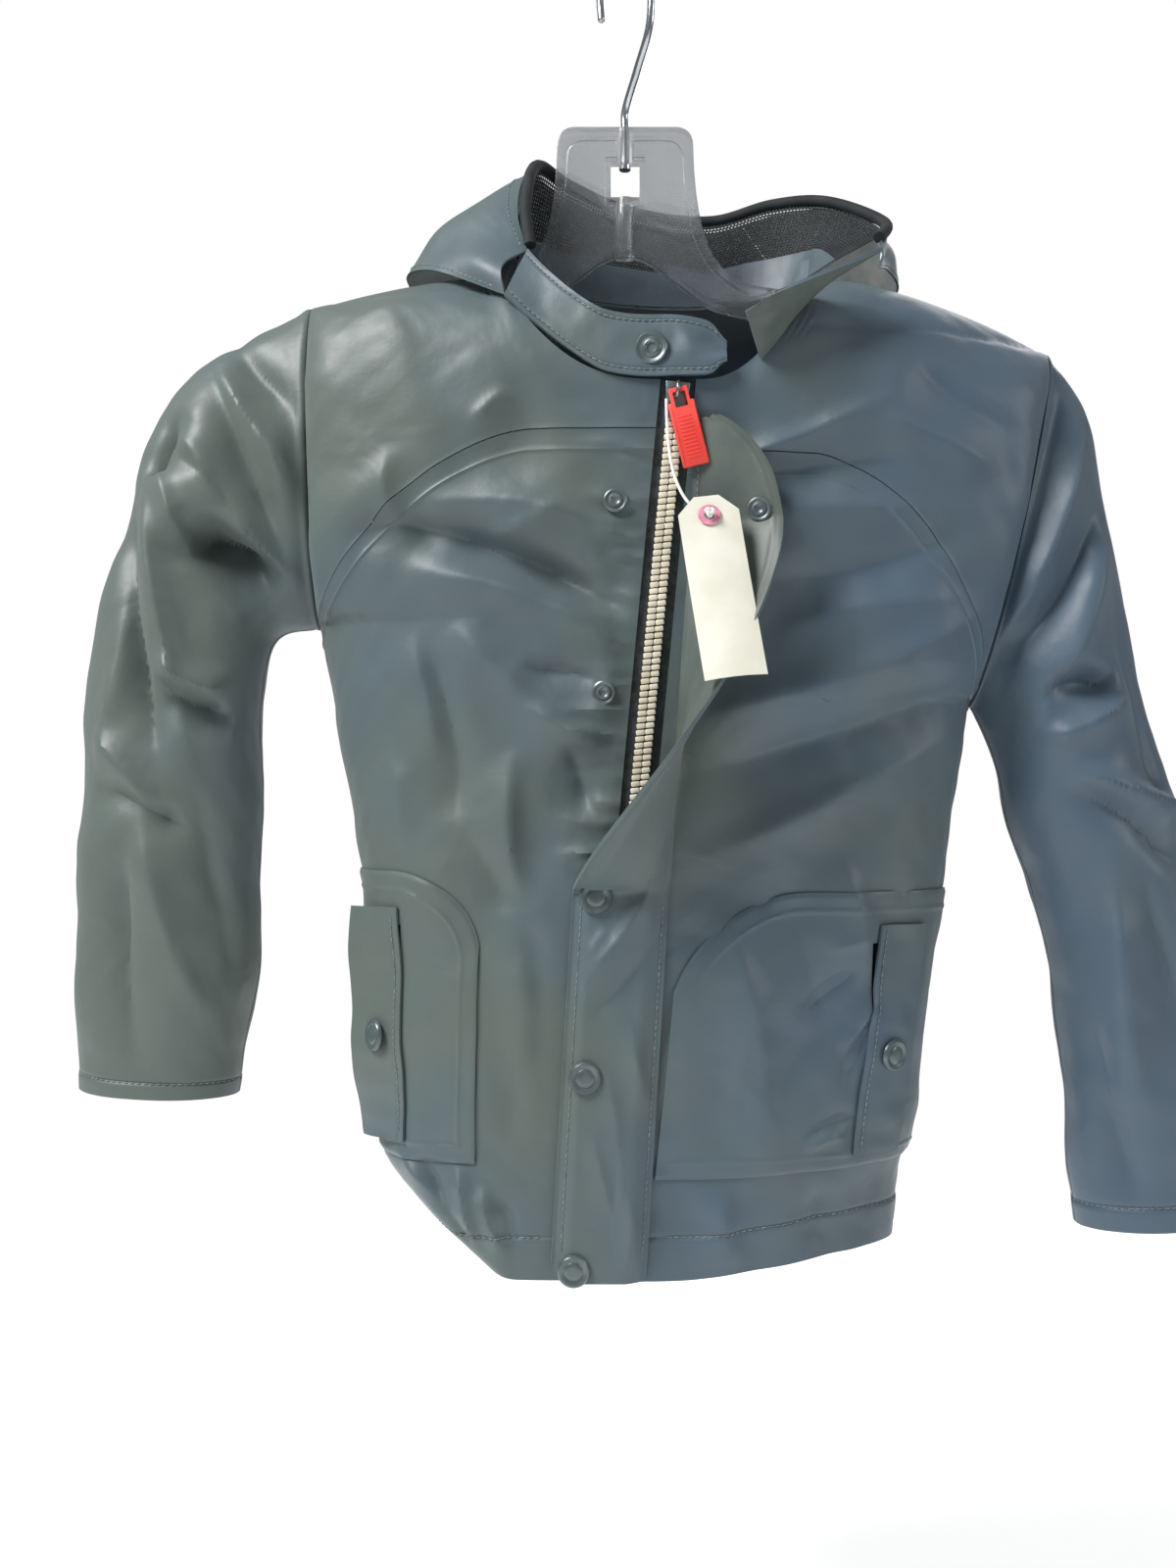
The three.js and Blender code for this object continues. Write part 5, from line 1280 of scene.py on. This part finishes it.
def make_hood():
    backing = finish("knitted_backing", shade(206, 210, 208), shade(228, 230, 227), 0.01, 0.8, 0.0006, 0.0002)
    first, second = HOOD_SEAMS
    gap = 0.0008
    spans = {"right": (0, first - gap), "centre": (first + gap, second - gap), "left": (second + gap, 1)}
    for name, (low, high) in spans.items():
        t, v = np.meshgrid(np.linspace(low, high, 91), np.linspace(0, 1, 61))
        points = hood_shell(t, v)
        panel, cut_size = cloth(f"hood_{name}_cloth", points, CLOTH, (15, 5, -220))
        fit(panel, f"hood_{name}_cloth", SHELL, "shell_cloth", None, f"hood_{name}_panel")
        line_with(panel, backing, t[:-1, :-1].size)
        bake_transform(panel)
        ridge = np.linspace(low + 0.01, high - 0.01, 160)
        for label, height in (("edge", 0.93), ("skirt", 0.06)):
            line = hood_shell(ridge, height + 0 * ridge) + np.array([0, 0, 0.25])
            row = stitches(f"hood_{name}_{label}_stitches", line, 3.2, THREAD, None)
            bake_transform(row)
    u, v = np.meshgrid(np.linspace(0, 1, 161), np.linspace(0, 1, 25))
    facing, cut_size = cloth("hood_facing_cloth", hood_lining(u, v, 0, FACING_TOP), 0.8, (15, 5, -150))
    fit(facing, "hood_facing_cloth", SHELL, "liner_cloth", None, "hood_neck_facing")
    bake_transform(facing)
    u, v = np.meshgrid(np.linspace(0, 1, int(330 / NET_PITCH)), np.linspace(0, 1, 19))
    net, cut_size = cloth("hood_net", hood_lining(u, v, FACING_TOP + 0.012, 1.0), 0.0, (15, 5, -150))
    choose(net)
    bpy.ops.object.mode_set(mode="EDIT")
    bpy.ops.mesh.select_all(action="SELECT")
    bpy.ops.mesh.inset(thickness=0.4 * MM, use_individual=True)
    bpy.ops.mesh.delete(type="FACE")
    bpy.ops.object.mode_set(mode="OBJECT")
    shape(net, "SOLIDIFY", thickness=0.35 * MM, offset=-1)
    black = finish("net_yarn", shade(22, 27, 30), shade(36, 42, 45), 0.01, 0.8, 0.0004, 0.0001)
    fit(net, "hood_net", black, "mesh_cloth", None, "hood_mesh_lining", angle=20)
    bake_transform(net)
    skirt, rim = np.array(HOOD_SKIRT, float), np.array(HOOD_RIM, float)
    away = rim - skirt
    path = rim + away / np.linalg.norm(away, axis=-1, keepdims=True) * 3
    binding = wire(rail(path)(np.linspace(0, 1, 61)), 2.9)
    fit(binding, "hood_binding", black, "mesh_cloth", None, "hood_edge_binding")
    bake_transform(binding)


make_hood()

# ---- hanging loop ----
# A short rolled tape, sewn by both ends inside the back of the neck.
LOOP_R, LOOP_DROP = 1.3, 12


def make_loop():
    ends = []
    for q in (-0.05, 0.02):
        at, out = normals_of(back_form, np.array(q), back_top(np.array(q)) - LOOP_DROP)
        ends.append(at - out * (CLOTH + 0.4 + LOOP_R + 0.5))
    middle = lerp(ends[0], ends[1], 0.5) + np.array([0, -9, -14])
    bows = [lerp(end, middle, 0.55) + np.array([0, -1, -3]) for end in ends]
    loop = wire(rail([ends[0], bows[0], middle, bows[1], ends[1]])(np.linspace(0, 1, 25)), LOOP_R)
    tape = finish("loop_tape", shade(36, 42, 45), shade(52, 58, 60), 0.003, 0.8, 0.0006, 0.0002)
    fit(loop, "neck_loop", tape, "loop_tape", "jacket", "hanging_loop")


make_loop()

# ---- hanger ----
# One clear moulding: a thin plate with a thick rim, a window round the hook's head and a hollow post below it.
# The steel wire hook turns in the post.
HOOK_WIRE_R, HOOK_R, HOOK_SHANK, HOOK_SWIVEL = 1.9, 24, 93, 60
PLATE_W, PLATE_T, RIM_T, RIM_W = 66, 3, 6.6, 4.5
WINDOW_W, WINDOW_H, WINDOW_DROP = 14, 17, 17
WING_REACH, WING_DROP = 146, 96
PLATE_TOP = -HOOK_SHANK


def bow(start, bends, steps=10):
    """Points of a curve pulled towards its bends, after its start."""
    knots = [np.array(p, float) for p in (start, *bends)]
    points = []
    for n in range(1, steps + 1):
        level = knots
        while len(level) > 1:
            level = [lerp(a, b, n / steps) for a, b in zip(level, level[1:])]
        points.append(level[0])
    return points


def hanger_outline(inset):
    half, top = PLATE_W / 2 - inset, PLATE_TOP - inset
    tip_x, tip_z = WING_REACH - inset, PLATE_TOP - WING_DROP
    line = [np.array((0.0, top)), np.array((half - 9.0, top))]
    for bends in (
        [(half, top), (half, top - 10)],
        [(half + 1, -145), (42 - inset, -164), (60, NECK_Z - CLOTH - 1.0 - inset)],
        [(tip_x - 5, tip_z - inset + 6)],
        [(tip_x + 1, tip_z + 2 - inset), (tip_x, tip_z - 5)],
        [(tip_x - 1, tip_z - 11 + inset), (tip_x - 6, tip_z - 11 + inset)],
        [(90, -190 + inset), (60, -186 + inset), (44, -181 + inset)],
        [(28, -175 + inset), (16, -155 + inset), (0, -155 + inset)],
    ):
        line += bow(line[-1], bends, 1 if len(bends) == 1 else 10)
    return line + [np.array((-x, z)) for x, z in reversed(line[1:-1])]


def plate(outline, thickness, y=0.0):
    """A flat piece of an upright outline, `thickness` deep about y."""
    mesh = bpy.data.meshes.new("plate")
    mesh.from_pydata(
        [(x * MM, (y - thickness / 2) * MM, z * MM) for x, z in outline], [], [range(len(outline))]
    )
    piece = bpy.data.objects.new("plate", mesh)
    bpy.context.collection.objects.link(piece)
    choose(piece)
    bpy.ops.object.mode_set(mode="EDIT")
    bpy.ops.mesh.select_all(action="SELECT")
    bpy.ops.mesh.extrude_region_move(TRANSFORM_OT_translate={"value": (0, thickness * MM, 0)})
    bpy.ops.mesh.select_all(action="SELECT")
    bpy.ops.mesh.normals_make_consistent(inside=False)
    bpy.ops.object.mode_set(mode="OBJECT")
    return piece


def rod(radius, low, high, at=(0, 0)):
    """An upright round rod."""
    choose()
    bpy.ops.mesh.primitive_cylinder_add(vertices=32, radius=radius * MM, depth=(high - low) * MM)
    piece = bpy.context.object
    piece.data.transform(Matrix.Translation(Vector((*at, (low + high) / 2)) * MM))
    return piece


def make_hanger():
    body = plate(hanger_outline(0), RIM_T)
    recess = (RIM_T - PLATE_T) / 2
    for side in (-1, 1):
        cut(body, plate(hanger_outline(RIM_W), recess + 1, side * (PLATE_T + recess + 1) / 2))
    window_z = PLATE_TOP - WINDOW_DROP - WINDOW_H / 2
    cut(body, block((WINDOW_W + 5, RIM_T, WINDOW_H + 5), (0, 0, window_z)), "UNION")
    cut(body, rod(4.6, -156, PLATE_TOP - 0.5), "UNION")
    cut(body, block((WINDOW_W, 20, WINDOW_H), (0, 0, window_z)))
    cut(body, rod(HOOK_WIRE_R + SEAM_GAP, PLATE_TOP - 20, PLATE_TOP + 10))
    cut(body, rod(2.6, -152, window_z - WINDOW_H / 2 - 3))
    shape(body, "BEVEL", width=0.7 * MM, segments=2, limit_method="ANGLE", angle_limit=math.radians(50))
    clear = finish("clear_plastic", shade(226, 230, 236), shade(238, 241, 245), 0.05, 0.12, 0.002, 0.00004,
                   Transmission_Weight=0.93, IOR=1.42, Specular_IOR_Level=0.6, Alpha=0.6)
    fit(body, "hanger_moulding", clear, "hanger_clear", "jacket", "hanger_body", angle=30)


def make_hook():
    top = HOOK_WIRE_R
    window_z = PLATE_TOP - WINDOW_DROP - 1
    points = [(0, 0, window_z), (0, 0, PLATE_TOP), (0, 0, PLATE_TOP + 8), (HOOK_R * 0.45, 0, PLATE_TOP + 24),
              (HOOK_R * 0.94, 0, PLATE_TOP + 42)]
    for turn in range(-10, 201, 30):
        a = math.radians(turn)
        points.append((HOOK_R * math.cos(a), 0, top - HOOK_R + HOOK_R * math.sin(a)))
    hook = wire(rail(points)(np.linspace(0, 1, 80)), HOOK_WIRE_R)
    head = spun([(0, 0), (2.5, 0), (2.9, 0.4), (2.9, 2.6), (2.5, 3), (0, 3)], (0, 0, window_z - 2.1))
    rounding = np.linspace(-math.pi / 2, math.pi / 2, 9)
    tip = spun([(HOOK_WIRE_R * math.cos(a), HOOK_WIRE_R * math.sin(a)) for a in rounding], points[-1])
    hook = joined(hook, head, tip)
    hook.data.transform(Matrix.Rotation(-math.radians(HOOK_SWIVEL), 4, "Z"))
    steel = finish(
        "hook_steel", shade(176, 180, 184), shade(206, 209, 212), 0.02, 0.22, 0.002, 0.00002, Metallic=1.0
    )
    fit(hook, "hook_bow", steel, "hook_wire", "hook", "hanger_hook")


make_hanger()
make_hook()

# ---- stage ----
# A plain pale floor, one soft light from the upper left, weaker ones from the right and from behind, and a white
# room that fills the view.
FLOOR_Z, FLOOR_SIZE = -0.86, 2.4

bpy.context.scene.view_settings.view_transform = "Standard"

choose()
bpy.ops.mesh.primitive_grid_add(x_subdivisions=4, y_subdivisions=4, size=FLOOR_SIZE, location=(0, 0, 0))
floor = bpy.context.object
floor.data.transform(Matrix.Translation((0, -0.3, FLOOR_Z)))
floor.name = "floor"
pale = finish("pale_floor", shade(236, 236, 234), shade(242, 242, 240), 0.4, 0.8, 0.01, 0.0001,
              Emission_Strength=0.5, Emission_Color=(1, 1, 1, 1))
floor.data.materials.append(pale)


def soft_light(name, place, size, power):
    lamp = bpy.data.lights.new(name, "AREA")
    lamp.shape, lamp.size, lamp.energy = "DISK", size, power
    light = bpy.data.objects.new(name, lamp)
    bpy.context.collection.objects.link(light)
    light.location = place
    light.rotation_euler = (Vector((0, 0, -0.42)) - Vector(place)).to_track_quat("-Z", "Y").to_euler()
    light.visible_transmission = False


soft_light("key", (-1.15, -0.75, 1.05), 0.9, 52)
soft_light("fill", (1.7, -0.8, 0.3), 0.9, 9)
soft_light("back", (0.6, 1.9, 0.9), 1.6, 22)

room = bpy.data.worlds.new("room")
room.use_nodes = True
bpy.context.scene.world = room
seen = room.node_tree.nodes["Background"]
seen.inputs["Color"].default_value = (1, 1, 1, 1)
felt = room.node_tree.nodes.new("ShaderNodeBackground")
felt.inputs["Color"].default_value = (0.93, 0.97, 1, 1)
felt.inputs["Strength"].default_value = 0.22
ray = room.node_tree.nodes.new("ShaderNodeLightPath")
either = room.node_tree.nodes.new("ShaderNodeMixShader")
room.node_tree.links.new(ray.outputs["Is Camera Ray"], either.inputs["Fac"])
room.node_tree.links.new(felt.outputs[0], either.inputs[1])
room.node_tree.links.new(seen.outputs[0], either.inputs[2])
room.node_tree.links.new(either.outputs[0], room.node_tree.nodes["World Output"].inputs["Surface"])
